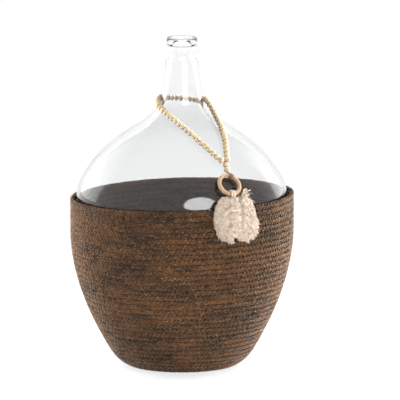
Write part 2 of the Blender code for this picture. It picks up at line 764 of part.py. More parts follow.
def build_spine(parent, cotton, drape, place):
    shape = bmesh.new()
    steps = SPINE_KNOTS * 2
    rings = []
    for n in range(steps + 1):
        down = spine_start() + SPINE_LENGTH * n / steps
        half = spine_half_width(down)
        thick = SPINE_THICKNESS / 2 * (1 - KNOT_SWELL * (n % 2 == 0))
        turns = [2 * math.pi * k / CORD_STEPS for k in range(CORD_STEPS)]
        rings.append([drape.point(half * math.cos(t), down, thick * math.sin(t)) for t in turns])
    loft(shape, rings)
    add_piece("tassel_spine", moved_mesh("tassel_spine", shape, place), cotton, parent, place)


def build_fringe(name, parent, cotton, drape, place, tips):
    """Fan of combed tufts beside the spine: a flat pad whose edge runs from tip to tip."""
    side = 1 if tips[-1][0] > 0 else -1
    lines = []
    for k, tip in enumerate(tips):
        lines.append(tip)
        if k + 1 < len(tips):
            middle = ((tip[0] + tips[k + 1][0]) / 2, (tip[1] + tips[k + 1][1]) / 2)
            lines.append((middle[0] * FRINGE_VALLEY, middle[1] * (1 + FRINGE_VALLEY) / 2))
    first = spine_start() + SPINE_LENGTH * 0.03
    last = spine_start() + SPINE_LENGTH * 0.97
    back = FRINGE_THICKNESS / 2 - SPINE_THICKNESS / 2
    shape = bmesh.new()
    rings = []
    for k, (tip_across, tip_down) in enumerate(lines):
        root_down = first + (last - first) * k / (len(lines) - 1)
        root_across = side * (spine_half_width(root_down) + REST_GAP * 2)
        section = []
        for share, thick in ((0.0, 0.7), (0.55, 1.0), (1.0, 0.45)):
            across = root_across + (tip_across - root_across) * share
            down = root_down + (tip_down - root_down) * share
            section.append((across, down, back + FRINGE_THICKNESS / 2 * thick))
        for share, thick in ((1.0, 0.45), (0.55, 1.0), (0.0, 0.7)):
            across = root_across + (tip_across - root_across) * share
            down = root_down + (tip_down - root_down) * share
            section.append((across, down, back - FRINGE_THICKNESS / 2 * thick))
        rings.append([drape.point(*corner) for corner in section])
    loft(shape, rings)
    add_piece(name, moved_mesh(name, shape, place), cotton, parent, place)


def build_tassel(parent, cotton, ring, drape):
    place = ring.hanger
    turns = np.linspace(0.0, math.pi, 4)
    outer = loop_radius()
    inner = BAR_RADIUS + LOOP_PLAY
    crown = [(outer - LOOP_THICKNESS * 0.5 * (1 - math.sin(t)), -LOOP_WIDTH / 2 * math.cos(t)) for t in turns]
    outline = [(inner, LOOP_WIDTH / 2 * 0.8), (inner, -LOOP_WIDTH / 2 * 0.8)] + crown
    turn = ring.hanger_axis.to_track_quat("Z", "Y")
    add_piece("tassel_loop", turned("tassel_loop", outline, LOOP_STEPS), cotton, parent, place, turn)

    build_spine(parent, cotton, drape, place)
    build_fringe("tassel_fringe_left", parent, cotton, drape, place, LEFT_TUFTS)
    build_fringe("tassel_fringe_right", parent, cotton, drape, place, RIGHT_TUFTS)

    tail = bmesh.new()
    lift = FRINGE_THICKNESS - SPINE_THICKNESS / 2 + REST_GAP + TAIL_DIAMETER / 2
    root = np.array(TAIL_ROOT)
    tip = np.array(TAIL_TIP)
    stops = [drape.point(*(root + (tip - root) * share), lift) for share in (0.0, 0.35, 0.7, 1.0)]
    rings = tube_rings(stops, TAIL_DIAMETER / 2, CORD_STEPS, ring.out)
    loft(tail, rings)
    add_piece("tassel_tail", moved_mesh("tassel_tail", tail, place), cotton, parent, place)


def build():
    clear_scene()
    plait = material("dark_plait", (0.095, 0.052, 0.030), 0.75)
    mat = material("dark_plait_mat", (0.080, 0.045, 0.026), 0.80)
    glass = material("clear_glass", (0.93, 0.96, 0.96), 0.03, transmission=1.0)
    bead_wood = material("bead_wood", (0.76, 0.60, 0.40), 0.55)
    ring_wood = material("ring_wood", (0.72, 0.52, 0.36), 0.50)
    twine = material("brown_twine", (0.25, 0.14, 0.08), 0.85)
    cotton = material("combed_cotton", (0.80, 0.68, 0.56), 0.90)

    junction, _ = on_glass(JUNCTION_AZIMUTH, NECK_ROOT_HEIGHT + BOTTLE_BASE - JUNCTION_DROP,
                           BEAD_RADIUS + BEAD_SEAT_GAP)
    ring = RingFrame(junction)
    drape = Drape(ring)

    basket = carrier("basket", (0.0, 0.0, 0.0))
    bottle = carrier("bottle", (0.0, 0.0, BOTTLE_BASE), basket)
    garland = carrier("garland", (0.0, 0.0, NECK_ROOT_HEIGHT + BOTTLE_BASE), bottle)
    pendant = carrier("pendant", junction, garland)
    ring_body = carrier("ring", ring.joint, pendant)
    tassel = carrier("tassel", ring.hanger, ring_body)

    add_piece("basket_base", basket_base_mesh(), mat, basket)
    add_piece("basket_wall", basket_wall_mesh(), plait, basket)
    add_piece("glass_bottle", turned("glass_bottle", bottle_outline(), TURN_STEPS), glass, bottle,
              (0.0, 0.0, BOTTLE_BASE))
    build_garland(garland, bead_wood, twine, junction)
    build_pendant(pendant, bead_wood, twine, junction, ring.joint)
    build_ring(ring_body, ring_wood, twine, ring)
    build_tassel(tassel, cotton, ring, drape)

    places = {"pendant": junction, "ring": ring.joint, "tassel": ring.hanger}
    for name, place in places.items():
        print(name, "joint", tuple(round(value, 5) for value in place))
    print("ring axis", tuple(round(value, 4) for value in -ring.right))
    print("tassel axis", tuple(round(value, 4) for value in ring.hanger_axis))
    print("pendant axis", tuple(round(value, 4) for value in -rightward(JUNCTION_AZIMUTH)))


build()
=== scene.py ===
"""Glass bottle in a plaited basket, with a bead garland, a wooden ring and a cotton tassel."""
import json
import math

import bpy
import numpy as np
from bpy.props import FloatProperty, FloatVectorProperty, IntProperty, PointerProperty
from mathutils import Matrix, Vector


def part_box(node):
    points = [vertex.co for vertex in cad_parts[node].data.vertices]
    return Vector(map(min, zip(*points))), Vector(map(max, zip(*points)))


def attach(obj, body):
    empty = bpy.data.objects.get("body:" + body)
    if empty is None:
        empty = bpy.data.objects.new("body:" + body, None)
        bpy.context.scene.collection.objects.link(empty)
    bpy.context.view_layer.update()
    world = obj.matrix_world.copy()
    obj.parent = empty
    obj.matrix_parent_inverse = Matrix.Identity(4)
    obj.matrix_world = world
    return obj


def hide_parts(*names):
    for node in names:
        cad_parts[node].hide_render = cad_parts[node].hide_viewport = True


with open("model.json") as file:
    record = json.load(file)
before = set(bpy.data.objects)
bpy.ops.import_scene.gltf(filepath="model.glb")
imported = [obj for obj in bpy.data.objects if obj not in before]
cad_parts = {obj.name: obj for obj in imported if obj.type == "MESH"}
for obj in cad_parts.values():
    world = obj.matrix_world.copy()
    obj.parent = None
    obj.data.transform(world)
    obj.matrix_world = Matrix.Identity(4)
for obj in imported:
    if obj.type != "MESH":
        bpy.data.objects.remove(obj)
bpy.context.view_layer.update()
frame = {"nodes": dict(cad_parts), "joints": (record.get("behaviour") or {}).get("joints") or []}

bl_info = {
    "name": "Glass Bottle in a Plaited Basket",
    "version": (1, 0, 0),
    "blender": (4, 5, 0),
    "location": "View3D > Sidebar > Vase",
    "description": "Builds the bottle, its basket and its garland round the packed frame",
    "category": "Object",
}

UP = np.array((0.0, 0.0, 1.0))
LEVEL = np.array((1.0, 1.0, 0.0))
MM = 0.001

# Numbers taken from the frame, in metres like all lengths below that don't say mm
BOTTLE_LOW, BOTTLE_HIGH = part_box("glass_bottle")
BOTTLE_BASE = BOTTLE_LOW[2]
BOTTLE_HEIGHT = BOTTLE_HIGH[2] - BOTTLE_LOW[2]
BOTTLE_RADIUS = BOTTLE_HIGH[0]
# Lifts a profile to where the bottle stands
STANDING = np.array((0.0, BOTTLE_BASE))

# Bottle profile, radius and height above its foot
FOOT_RADIUS = 0.0640
FOOT_LAND = 0.0080
PUNT_HEIGHT = 0.0090
HEEL_HEIGHT = 0.0220
SIDE_FOOT_RADIUS = 0.0830
SIDE_POWER = 1.85
BELLY_HEIGHT = 0.1900
SHOULDER_START = 0.2390
SHOULDER_RISE = 0.1205
SHOULDER_POWER = 1.63
SHOULDER_END_RADIUS = 0.0942
FILLET_LOW = 0.0333
FILLET_HIGH = 0.0164
NECK_RADIUS = 0.0296
NECK_HEIGHT = 0.3776
NECK_TAPER = 0.0900
NECK_TOP_RADIUS = 0.0223
FINISH_DROP = 0.0292
COLLAR_RADIUS = 0.0238
COLLAR_HEIGHT = 0.0165
COLLAR_ROUND = 0.0015
GROOVE = 0.0008
LIP_RADIUS = 0.0218
LIP_ROUND = 0.0022
BODY_WALL = 0.0030
NECK_WALL = 0.0075
BOTTOM_WALL = 0.0055

# Basket profile; the rim slope raises its right side
FIT_GAP = 0.0018
PLAIT_THICKNESS = 0.0075
PLAIT_WIDTH = 0.0077
BASKET_HEIGHT = 0.2480
BASKET_FOOT_RADIUS = 0.0760
HEEL_CORNER = 0.0180
HEEL_LIFT = 0.0065
RIM_SLOPE = 0.0280

# Plait: crowding of the rows, then slow random changes as (spacing, amount)
WALL_CROWDING, MAT_CROWDING = 1.15, 1.02
STRAND_SIDES = 8
SLIP = (0.045, 0.9)
STRAND_SLIP = (0.011, 0.35)
FULLNESS = (0.014, 0.12)
SLIP_SEED, FULLNESS_SEED = 5, 7
# How far a strand rides over the others: its middle, its swing and how sharply it turns
OVER_MIDDLE, OVER_SWING, OVER_SHARPNESS = 0.38, 0.62, 2.2
END_TAPER = 0.03
SEAM_SHARE = 0.2
COIL_STEPS = 180
POINTS_PER_STITCH = 8
# The lining's depth behind the wall's outside, as shares of the plait's thickness
LINING_FRONT, LINING_BACK = 0.42, 0.62
LINING_DROP = 0.003

# Garland
BEAD_RADIUS = 0.0044
BEAD_LENGTH = 0.0077
BEAD_GAP = 0.0003
BEAD_MOUTH = 0.0010
BEAD_HOLE = 0.0007
PENDANT_GAP = 0.0010
SEAT_GAP = 0.0005
STRING_RADIUS = 0.0005
CORD_LAY = 0.0022
CORD_SIDES = 8
KNOT_RADIUS = 0.0009
JUNCTION_AZIMUTH = 30.4
JUNCTION_DROP = 0.0742
# Azimuth in degrees, then drop below the neck's root and lift off the glass in mm
GARLAND_ROUTE = (
    (28.9, 74.3, 0), (25.6, 67.3, 0), (19.4, 52.9, 0), (11.1, 39.9, 0), (-1.8, 27.5, 0),
    (-15.1, 19.7, 0), (-34.6, 12.6, 0), (-52.0, 8.3, 0), (-72.0, 4.2, 0), (-92.0, 0.8, 0),
    (-112.0, -1.8, 0), (-130.0, -2.0, 0), (-151.0, -0.6, 0), (-170.0, 0.3, 0), (-193.0, 0.8, 0),
    (-212.0, 1.6, 0), (-229.0, 1.8, 0), (-243.0, 1.2, 0), (-256.0, 0.4, 0), (-267.0, 1.2, 1.0),
    (-275.4, 6.0, 1.8), (-281.6, 11.7, 1.5), (-288.4, 16.7, 0.7), (-294.0, 21.5, 0),
    (-300.0, 25.9, 0), (-304.3, 30.7, 0), (-312.5, 39.7, 0), (-318.3, 48.9, 0),
    (-323.2, 58.1, 0), (-326.3, 67.3, 0), (-327.9, 74.3, 0),
)

# Ring, hitch and loop
BAR_RADIUS = 0.0028
RING_RADIUS = 0.01545
HITCH_TURNS = 4
HITCH_CORD = 0.0011
HITCH_SPREAD = 31.0
HITCH_START = 20.0
REST_GAP = 0.0003
HITCH_RADIUS = BAR_RADIUS + REST_GAP + HITCH_CORD / 2
LOOP_PLAY = 0.0008
LOOP_THICKNESS = 0.0026
LOOP_WIDTH = 0.0070
LOOP_CORDS = 4

# Tassel
TASSEL_GAP = 0.0005
TASSEL_SLANT = 0.045
BEND_RISE = 0.0130
BEND_FALL = 0.0090
SPINE_KNOTS = 6
SPINE_WIDTH = 0.0130
SPINE_THICKNESS = 0.0058
SPINE_LENGTH = 0.0560
SPINE_START = BAR_RADIUS + LOOP_PLAY + LOOP_THICKNESS + REST_GAP
SPINE_FUZZ = 620
CORE_THICKNESS = 0.0040
ROLL_THICKNESS = 0.0024
ROLL_RISE = 0.0019
ROLL_BOW = 0.0010
ROLL_TILT = 0.0011
FRINGE_THICKNESS = 0.0040
# Each lock in mm: where it leaves the spine, then where it bends and ends (across, down); the long
# locks come first, and the short ones lie over them
LEFT_LOCKS = (
    (7.2, -24.8, 0.6, -29.2, 30.4), (13.1, -29.2, 9.0, -31.2, 41.9),
    (20.2, -28.8, 16.1, -30.8, 52.2), (27.3, -26.8, 24.8, -27.8, 60.5),
    (34.6, -25.0, 33.6, -21.5, 67.4), (41.9, -18.0, 44.2, -13.0, 71.6),
    (49.3, -11.0, 53.4, -5.8, 72.7), (8.7, -19.5, 5.6, -22.8, 33.6),
    (20.1, -22.4, 20.8, -24.0, 49.7), (31.6, -20.1, 32.4, -19.8, 60.2),
    (43.3, -13.8, 45.9, -12.4, 66.5),
)
RIGHT_LOCKS = (
    (7.0, 21.5, 2.0, 29.2, 20.0), (10.0, 23.6, 9.5, 30.6, 33.0), (15.7, 23.0, 19.9, 33.4, 43.2),
    (25.6, 26.8, 28.9, 38.8, 50.5), (32.9, 29.0, 39.1, 36.8, 63.0), (38.8, 22.6, 47.3, 28.1, 69.4),
    (46.1, 16.1, 52.7, 18.3, 72.8), (51.9, 9.0, 59.4, 9.4, 71.0), (55.2, 5.8, 62.0, 4.6, 68.4),
    (10.0, 14.6, 11.0, 22.4, 29.8), (21.4, 17.6, 25.1, 27.2, 42.0), (30.0, 20.3, 35.5, 28.4, 55.3),
    (38.8, 14.7, 45.2, 19.0, 64.7),
)
LONG_LEFT, LONG_RIGHT = 7, 9
LEFT_SEED, RIGHT_SEED, TAIL_SEED, FUZZ_SEED = 11, 12, 13, 21
LOCK_RADIUS = 0.0031
LOCK_PLIES = 4
LOCK_POINTS = 32
SHORT_LOCK_RISE = 0.0018
# Combed strands: length of a crimp, how it differs from ply to ply, and the strays among them
CRIMP_LENGTH, CRIMP_STEP = 0.0062, 0.0007
STRAY_SHARE, STRAY_REACH, STRAND_REACH = 0.12, 0.0028, 0.0005
RIPPLE = 0.0005
# The frayed tail; its root and tips (across, down) in mm
TAIL_ROOT = (11.2, 9.0)
TAIL_TIPS = ((20.4, -4.0), (23.6, -4.8), (27.4, -5.8), (30.8, -2.2), (26.6, 3.6))
TAIL_DIAMETER = 0.0045
TAIL_LOCK_RADIUS = 0.0008
TAIL_STRANDS = 16
TAIL_POINTS = 14

# Camera, floor and light
PHOTO_ELEVATION = 9.2
CAMERA_DISTANCE = 10.0
SENSOR_WIDTH = 36.0
FRAME_WIDTH = 0.576
AIM_HEIGHT = 0.2392
AIM_RIGHT = 0.0259
FLOOR_REACH = 14.0
# Lamps: azimuth, distance (negative on the left), height, then the lamp's own width and height
LAMP_LEFT = (116.0, -1.6, 0.85, 1.15, 1.7)
LAMP_RIGHT = (116.0, 1.6, 0.85, 1.15, 1.7)
LAMP_FRONT = (36.0, 2.7, 1.08, 1.75, 1.75)
LAMP_AIM = Vector((0.0, 0.0, 0.2))
# The right lamp's power beside the left lamp's
RIGHT_SHARE = 1.10
WHITE = (1.0, 1.0, 1.0)
# Where the softbox that the glass reflects stands, seen from the object
SOFTBOX_DIRECTION = (0.343, -0.893, 0.292)


def tone(red, green, blue):
    """A colour as it looks on a screen, 0 to 255, turned into Blender's linear values."""
    return tuple(((v / 255 + 0.055) / 1.055) ** 2.4 if v > 10 else v / 255 / 12.92
                 for v in (red, green, blue))


# Settings that a user may change
def number_setting(name, about, value, **more):
    return FloatProperty(name=name, description=about, default=value, min=0.0, **more)


def length_setting(name, about, value):
    return number_setting(name, about, value, unit="LENGTH", precision=5)


def colour_setting(name, about, *screen):
    return FloatVectorProperty(name=name, description=about, default=tone(*screen), min=0.0,
                               max=1.0, size=3, subtype="COLOR")


class BasketSettings(bpy.types.PropertyGroup):
    strand_width: length_setting("Strand width", "Width of one strand of the plait", 0.0049)
    strand_thickness: length_setting("Strand thickness", "Thickness of one strand", 0.0028)
    stitch: length_setting("Stitch", "Length along the plait after which a strand repeats", 0.0175)
    dark: colour_setting("Dark fibre", "Colour of the darkest strands", 36, 25, 16)
    warm: colour_setting("Warm fibre", "Colour of the reddish strands", 96, 62, 35)
    # The worn colour is also painted highlight on the strands' faces
    pale: colour_setting("Worn fibre", "Colour of worn and dry strands", 140, 110, 80)


class BottleSettings(bpy.types.PropertyGroup):
    facets: IntProperty(name="Facets", description="Steps round the bottle", default=144, min=24)
    tint: colour_setting("Glass tint", "Colour that light takes on in the glass", 251, 252, 252)


class GarlandSettings(bpy.types.PropertyGroup):
    wood: colour_setting("Bead wood", "Colour of the beads", 220, 203, 177)
    grain: colour_setting("Bead grain", "Colour of the grain's darker lines", 208, 184, 152)
    twine: colour_setting("Twine", "Colour of the string", 158, 126, 98)


class RingSettings(bpy.types.PropertyGroup):
    wood: colour_setting("Ring wood", "Colour of the ring", 206, 176, 150)
    grain: colour_setting("Ring grain", "Colour of the grain's darker lines", 192, 158, 130)


class TasselSettings(bpy.types.PropertyGroup):
    strands: IntProperty(name="Strands", description="Combed strands in one lock", default=78,
                         min=10)
    strand_diameter: length_setting("Strand diameter", "Diameter of a combed strand", 0.00066)
    cotton: colour_setting("Cotton", "Colour of the cotton", 246, 232, 216)
    shade: colour_setting("Cotton shade", "Colour of the cotton deep in the locks", 200, 174, 151)


class StageSettings(bpy.types.PropertyGroup):
    floor: colour_setting("Floor", "Colour of the floor", 240, 240, 239)
    ambient: number_setting("Ambient", "Strength of the light from all round", 0.54)
    room: number_setting("Room", "Brightness of the room in front, in reflections", 0.85)
    side_glow: number_setting("Side glow", "Brightness of the side lamps in reflections", 1.2)
    softbox: number_setting("Softbox", "Brightness of the front lamp in reflections", 7.5)
    side_lamp: number_setting("Side lamps", "Power of the two side lamps", 78.0, subtype="POWER")
    front_lamp: number_setting("Front lamp", "Power of the large front lamp", 36.0, subtype="POWER")


class VaseSettings(bpy.types.PropertyGroup):
    basket: PointerProperty(type=BasketSettings, name="Basket", description="The plaited basket")
    bottle: PointerProperty(type=BottleSettings, name="Bottle", description="The glass bottle")
    garland: PointerProperty(type=GarlandSettings, name="Garland", description="Beads and string")
    ring: PointerProperty(type=RingSettings, name="Ring", description="The wooden ring")
    tassel: PointerProperty(type=TasselSettings, name="Tassel", description="The cotton tassel")
    stage: PointerProperty(type=StageSettings, name="Stage", description="Floor and light")


# Materials
def maths(operation, reflected=False):
    """An operator that adds a Math node; a reflected one takes its own socket second."""
    def apply(self, other):
        first, second = (other, self) if reflected else (self, other)
        return self.finish.node("Math", {"operation": operation}, {0: first, 1: second})
    return apply


class Value:
    """A socket in a material; arithmetic on it adds Math nodes."""

    def __init__(self, finish, socket):
        self.finish = finish
        self.socket = socket

    __add__, __radd__ = maths("ADD"), maths("ADD", True)
    __sub__, __rsub__ = maths("SUBTRACT"), maths("SUBTRACT", True)
    __mul__, __rmul__ = maths("MULTIPLY"), maths("MULTIPLY", True)
    __truediv__, __rtruediv__ = maths("DIVIDE"), maths("DIVIDE", True)
    __pow__, __rpow__ = maths("POWER"), maths("POWER", True)


class Finish:
    """A material (or the world) and its nodes."""

    def __init__(self, owner):
        owner.use_nodes = True
        self.owner = owner
        self.tree = owner.node_tree
        self.tree.nodes.clear()

    def node(self, kind, settings=None, values=None, output=0):
        """Adds a node: its type, its settings, then the values or links of its sockets."""
        made = self.tree.nodes.new("ShaderNode" + kind)
        for name, value in (settings or {}).items():
            setattr(made, name, value)
        for name, value in (values or {}).items():
            self.feed(made.inputs[name], value)
        return Value(self, made.outputs[output]) if len(made.outputs) else None

    def feed(self, socket, value):
        if isinstance(value, Value):
            self.tree.links.new(value.socket, socket)
        else:
            socket.default_value = (*value, 1.0) if socket.type == "RGBA" else value

    def attribute(self, name):
        return self.node("Attribute", {"attribute_name": name}, output="Vector")

    def object_place(self):
        return self.node("TexCoord", output="Object")

    def rays(self):
        """Whether a ray comes from the camera, off a glossy surface or through a clear one."""
        kinds = ("Is Camera Ray", "Is Glossy Ray", "Is Transmission Ray")
        return [self.node("LightPath", output=kind) for kind in kinds]

    def parts(self, vector):
        """The vector's X, Y and Z."""
        return [self.node("SeparateXYZ", None, {"Vector": vector}, output=axis) for axis in "XYZ"]

    def vector(self, x, y, z):
        return self.node("CombineXYZ", None, {"X": x, "Y": y, "Z": z})

    def stretched(self, vector, factors):
        return self.node("VectorMath", {"operation": "MULTIPLY"}, {0: vector, 1: factors})

    def noise(self, vector, scale, detail=2.0, rough=0.5):
        return self.node("TexNoise", None, {"Vector": vector, "Scale": scale, "Detail": detail,
                                            "Roughness": rough})

    def between(self, value, low, high, start=0.0, end=1.0):
        """Start where the value is low, end where it is high, and a straight line between them."""
        return self.node("MapRange", {"clamp": True}, {
            "Value": value, "From Min": low, "From Max": high, "To Min": start, "To Max": end})

    def mix(self, factor, first, second):
        return self.node("Mix", {"data_type": "RGBA"}, {0: factor, 6: first, 7: second}, output=2)

    def blend(self, colour, other, *limits):
        """The colour with another mixed in; the limits are those of between."""
        return self.mix(self.between(*limits), colour, other)

    def bump(self, height, strength, distance):
        return self.node("Bump", None, {"Height": height, "Strength": strength,
                                        "Distance": distance})

    def surface(self, **values):
        """Principled shader; underscores in the names stand for spaces."""
        named = {name.replace("_", " "): value for name, value in values.items()}
        shader = self.node("BsdfPrincipled", None, named)
        self.node("OutputMaterial", None, {"Surface": shader})
        return self.owner


def new_finish(name):
    return Finish(bpy.data.materials.new(name))


def plait_finish(settings):
    """Plaited plant fibre: streaks along each strand, wider stains, fine creases with painted shade
    in them, painted shade on the strands' sides, worn fibre and painted highlight on their faces,
    and bright ends that are partly painted glints.
    """
    f = new_finish("plaited_fibre")
    along, around, strand = f.parts(f.attribute("fibre"))
    patch = f.noise(f.vector(along * 15.0, 0.0, 2.0), 1.0, 2.0, 0.45)
    streak = f.noise(f.vector(along * 48.0, strand * 9.0, 0.0), 1.0, 2.0, 0.55)
    stain = f.noise(f.stretched(f.object_place(), (1.0, 1.0, 2.4)), 8.0, 2.0, 0.5)
    crease = f.noise(f.vector(along * 150.0, around * 5.0, strand * 5.0), 1.0, 3.0, 0.65)
    fleck_and_glint = f.noise(f.vector(along * 420.0, around * 4.0, strand * 11.0), 1.0, 1.0)
    edge = (around - 0.5) * (around - 0.5) * 4.0
    colour = f.blend(settings.dark, settings.warm, patch * 0.55 + streak * 0.42 + stain * 0.35,
                     0.57, 0.75)
    # Pale worn fibre and painted highlight: strongest on the strands' faces and the crease ridges
    worn_and_highlight = f.between(crease, 0.50, 0.70, 0.0, 0.75) * f.between(edge, 0.1, 0.5, 1.0, 0.2)
    colour = f.mix(worn_and_highlight, colour, settings.pale)
    # Painted shade: darker where the crease bumps sink
    colour = f.blend(colour, tone(32, 21, 14), crease, 0.30, 0.60, 0.35, 0.0)
    # Painted shade along the strands' sides, in the grooves between the rows
    colour = f.blend(colour, tone(24, 16, 10), edge, 0.35, 0.90, 0.0, 0.70)
    # Bright flecks: pale fibre ends, partly painted glints
    colour = f.blend(colour, tone(200, 172, 140), fleck_and_glint, 0.70, 0.78, 0.0, 0.8)
    return f.surface(Base_Color=colour, Roughness=f.between(crease, 0.3, 0.7, 0.72, 0.55),
                     Normal=f.bump(crease, 0.55, 0.0006), Specular_IOR_Level=0.2,
                     Sheen_Weight=0.60, Sheen_Roughness=0.3, Sheen_Tint=(1.0, 0.82, 0.68))


def lining_finish():
    """The dark gap behind the strands."""
    f = new_finish("plait_lining")
    fleck = f.noise(f.stretched(f.object_place(), (1.0, 1.0, 6.0)), 90.0, 3.0, 0.6)
    return f.surface(Base_Color=f.mix(fleck, tone(38, 26, 18), tone(74, 52, 35)), Roughness=0.9,
                     Normal=f.bump(fleck, 0.5, 0.0008))


def glass_finish(settings):
    """Clear glass with the faint waves of a blown bottle."""
    f = new_finish("blown_clear_glass")
    place = f.object_place()
    wave = f.noise(f.stretched(place, (1.0, 1.0, 0.35)), 14.0, 1.0, 0.4)
    ripple = f.noise(f.stretched(place, (1.0, 1.0, 0.6)), 55.0, 1.0, 0.4)
    return f.surface(Base_Color=settings.tint, Roughness=0.0, IOR=1.46, Transmission_Weight=1.0,
                     Normal=f.bump(wave * 0.8 + ripple * 0.2, 0.10, 0.002))


def wood_finish(name, settings, scale):
    """Raw turned wood: fine lines, paler and darker bands and a few pores."""
    f = new_finish(name)
    place = f.attribute("grain")
    bend = f.noise(place, 70.0 * scale, 2.0)
    rings = f.parts(place)[0] * (900.0 * scale) + bend * 9.0
    lines = f.node("Math", {"operation": "SINE"}, {0: rings}) * 0.5 + 0.5
    fibre = f.noise(f.stretched(place, (5.0, 5.0, 0.7)), 420.0 * scale, 3.0, 0.6)
    colour = f.blend(settings.wood, settings.grain, lines * 0.45 + fibre * 0.75, 0.35, 0.95)
    colour = f.blend(colour, tone(168, 134, 100), fibre, 0.68, 0.76, 0.0, 0.35)
    return f.surface(Base_Color=colour, Roughness=f.between(fibre, 0.3, 0.7, 0.60, 0.75),
                     Normal=f.bump(fibre, 0.15, 0.0002), Specular_IOR_Level=0.2,
                     Subsurface_Weight=0.60, Subsurface_Radius=(0.6, 0.45, 0.3),
                     Subsurface_Scale=0.004)


def twine_finish(settings):
    """Brown two-ply string with a little fluff."""
    f = new_finish("brown_twine")
    along, around, _ = f.parts(f.attribute("fibre"))
    fluff = f.noise(f.vector(along * 900.0, around * 3.0, 0.0), 1.0, 3.0, 0.6)
    colour = f.blend(tone(122, 92, 68), settings.twine, fluff, 0.3, 0.7)
    return f.surface(Base_Color=colour, Roughness=0.85, Normal=f.bump(fluff, 0.5, 0.0002),
                     Sheen_Weight=0.2, Sheen_Roughness=0.5)


def cotton_finish(settings, name, root_shade, low):
    """Combed cotton: every lock a little different, darker towards its root."""
    f = new_finish(name)
    along, around, strand = f.parts(f.attribute("fibre"))
    own = f.noise(f.vector(strand * 3.7, 0.0, 0.0), 1.0, 0.0)
    fluff = f.noise(f.vector(along * 500.0, around * 4.0, strand * 2.0), 1.0, 3.0, 0.6)
    clump = f.noise(f.object_place(), 260.0, 2.0, 0.6)
    depth = (f.between(own * 0.6 + fluff * 0.6, low, low + 0.24)
             * f.between(clump, 0.34, 0.54, 0.25, 1.0))
    colour = f.mix(depth, settings.shade, settings.cotton)
    colour = f.blend(colour, tone(160, 130, 106), along, 0.001, 0.014, root_shade, 0.0)
    return f.surface(Base_Color=colour, Roughness=0.9, Normal=f.bump(fluff, 0.4, 0.0002),
                     Sheen_Weight=0.10, Sheen_Roughness=0.5, Subsurface_Weight=0.06,
                     Subsurface_Radius=(0.6, 0.4, 0.3), Subsurface_Scale=0.002)


# Lines in the turning plane, as arrays of (radius, height)
def curve(controls, count):
    """Bezier curve through its first and last controls."""
    controls = [np.array(c, float) for c in controls]
    degree = len(controls) - 1
    share = np.linspace(0.0, 1.0, count)[:, None]
    return sum(math.comb(degree, k) * (1 - share) ** (degree - k) * share ** k * control
               for k, control in enumerate(controls))


def joined(*lines):
    points = [lines[0][0]]
    for line in lines:
        points += [p for p in line if np.linalg.norm(p - points[-1]) > 1e-6]
    return np.array(points)


def line_normals(line):
    along = unit(np.gradient(line, axis=0))
    return np.column_stack((along[:, 1], -along[:, 0]))


def travel_along(line):
    return np.concatenate(((0.0,), np.cumsum(np.linalg.norm(np.diff(line, axis=0), axis=1))))


def read_off(places, travel, columns):
    """The value of each column at places along a line."""
    return [np.interp(places, travel, column) for column in columns]


def even_line(line, count):
    travel = travel_along(line)
    return np.column_stack(read_off(np.linspace(0.0, travel[-1], count), travel, line.T))


def side_line(count):
    height = np.linspace(HEEL_HEIGHT, BELLY_HEIGHT, count)
    fall = (1 - height / BELLY_HEIGHT) ** SIDE_POWER
    return np.column_stack((BOTTLE_RADIUS - (BOTTLE_RADIUS - SIDE_FOOT_RADIUS) * fall, height))


def heel_line(count):
    low, above = side_line(400)[:2]
    slope = (above[0] - low[0]) / (above[1] - low[1])
    return curve(((FOOT_RADIUS, 0.0), (low[0] - slope * low[1], 0.0), low), count)


def shoulder_line(count):
    end_turn = math.acos((SHOULDER_END_RADIUS / BOTTLE_RADIUS) ** (SHOULDER_POWER / 2))
    turn = np.linspace(0.0, end_turn, count)
    rise = SHOULDER_RISE * np.sin(turn) ** (2 / SHOULDER_POWER)
    return np.column_stack((BOTTLE_RADIUS * np.cos(turn) ** (2 / SHOULDER_POWER),
                            SHOULDER_START + rise))


def fillet_line(count):
    fine = shoulder_line(200)
    end = np.array((NECK_RADIUS, NECK_HEIGHT))
    leave, arrive = unit(fine[-1] - fine[-2]), unit(np.array((-NECK_TAPER, 1.0)))
    return curve((fine[-1], fine[-1] + leave * FILLET_LOW, end - arrive * FILLET_HIGH, end), count)


def neck_line(count):
    high = (NECK_TOP_RADIUS, BOTTLE_HEIGHT - FINISH_DROP)
    middle_height = (NECK_HEIGHT + high[1]) / 2
    middle = (NECK_RADIUS - NECK_TAPER * (middle_height - NECK_HEIGHT), middle_height)
    return curve(((NECK_RADIUS, NECK_HEIGHT), middle, high), count)


def finish_line():
    """Collar, the groove above it and the rounded lip."""
    base = BOTTLE_HEIGHT - FINISH_DROP
    top = base + COLLAR_HEIGHT
    widest = (COLLAR_RADIUS, base + COLLAR_HEIGHT * 0.5)
    groove = (LIP_RADIUS - GROOVE, top)
    swell = curve(((NECK_TOP_RADIUS, base), (COLLAR_RADIUS, base + COLLAR_HEIGHT * 0.1), widest), 9)
    fall = curve((widest, (COLLAR_RADIUS, top - COLLAR_ROUND), groove), 9)
    rise = curve((groove, (LIP_RADIUS - 0.0006, top + 0.0012), (LIP_RADIUS, top + 0.0016),
                  (LIP_RADIUS, top + 0.0030)), 7)
    edge = curve(((LIP_RADIUS, BOTTLE_HEIGHT - LIP_ROUND), (LIP_RADIUS, BOTTLE_HEIGHT),
                  (LIP_RADIUS - LIP_ROUND, BOTTLE_HEIGHT)), 8)
    return joined(swell, fall, rise, edge)


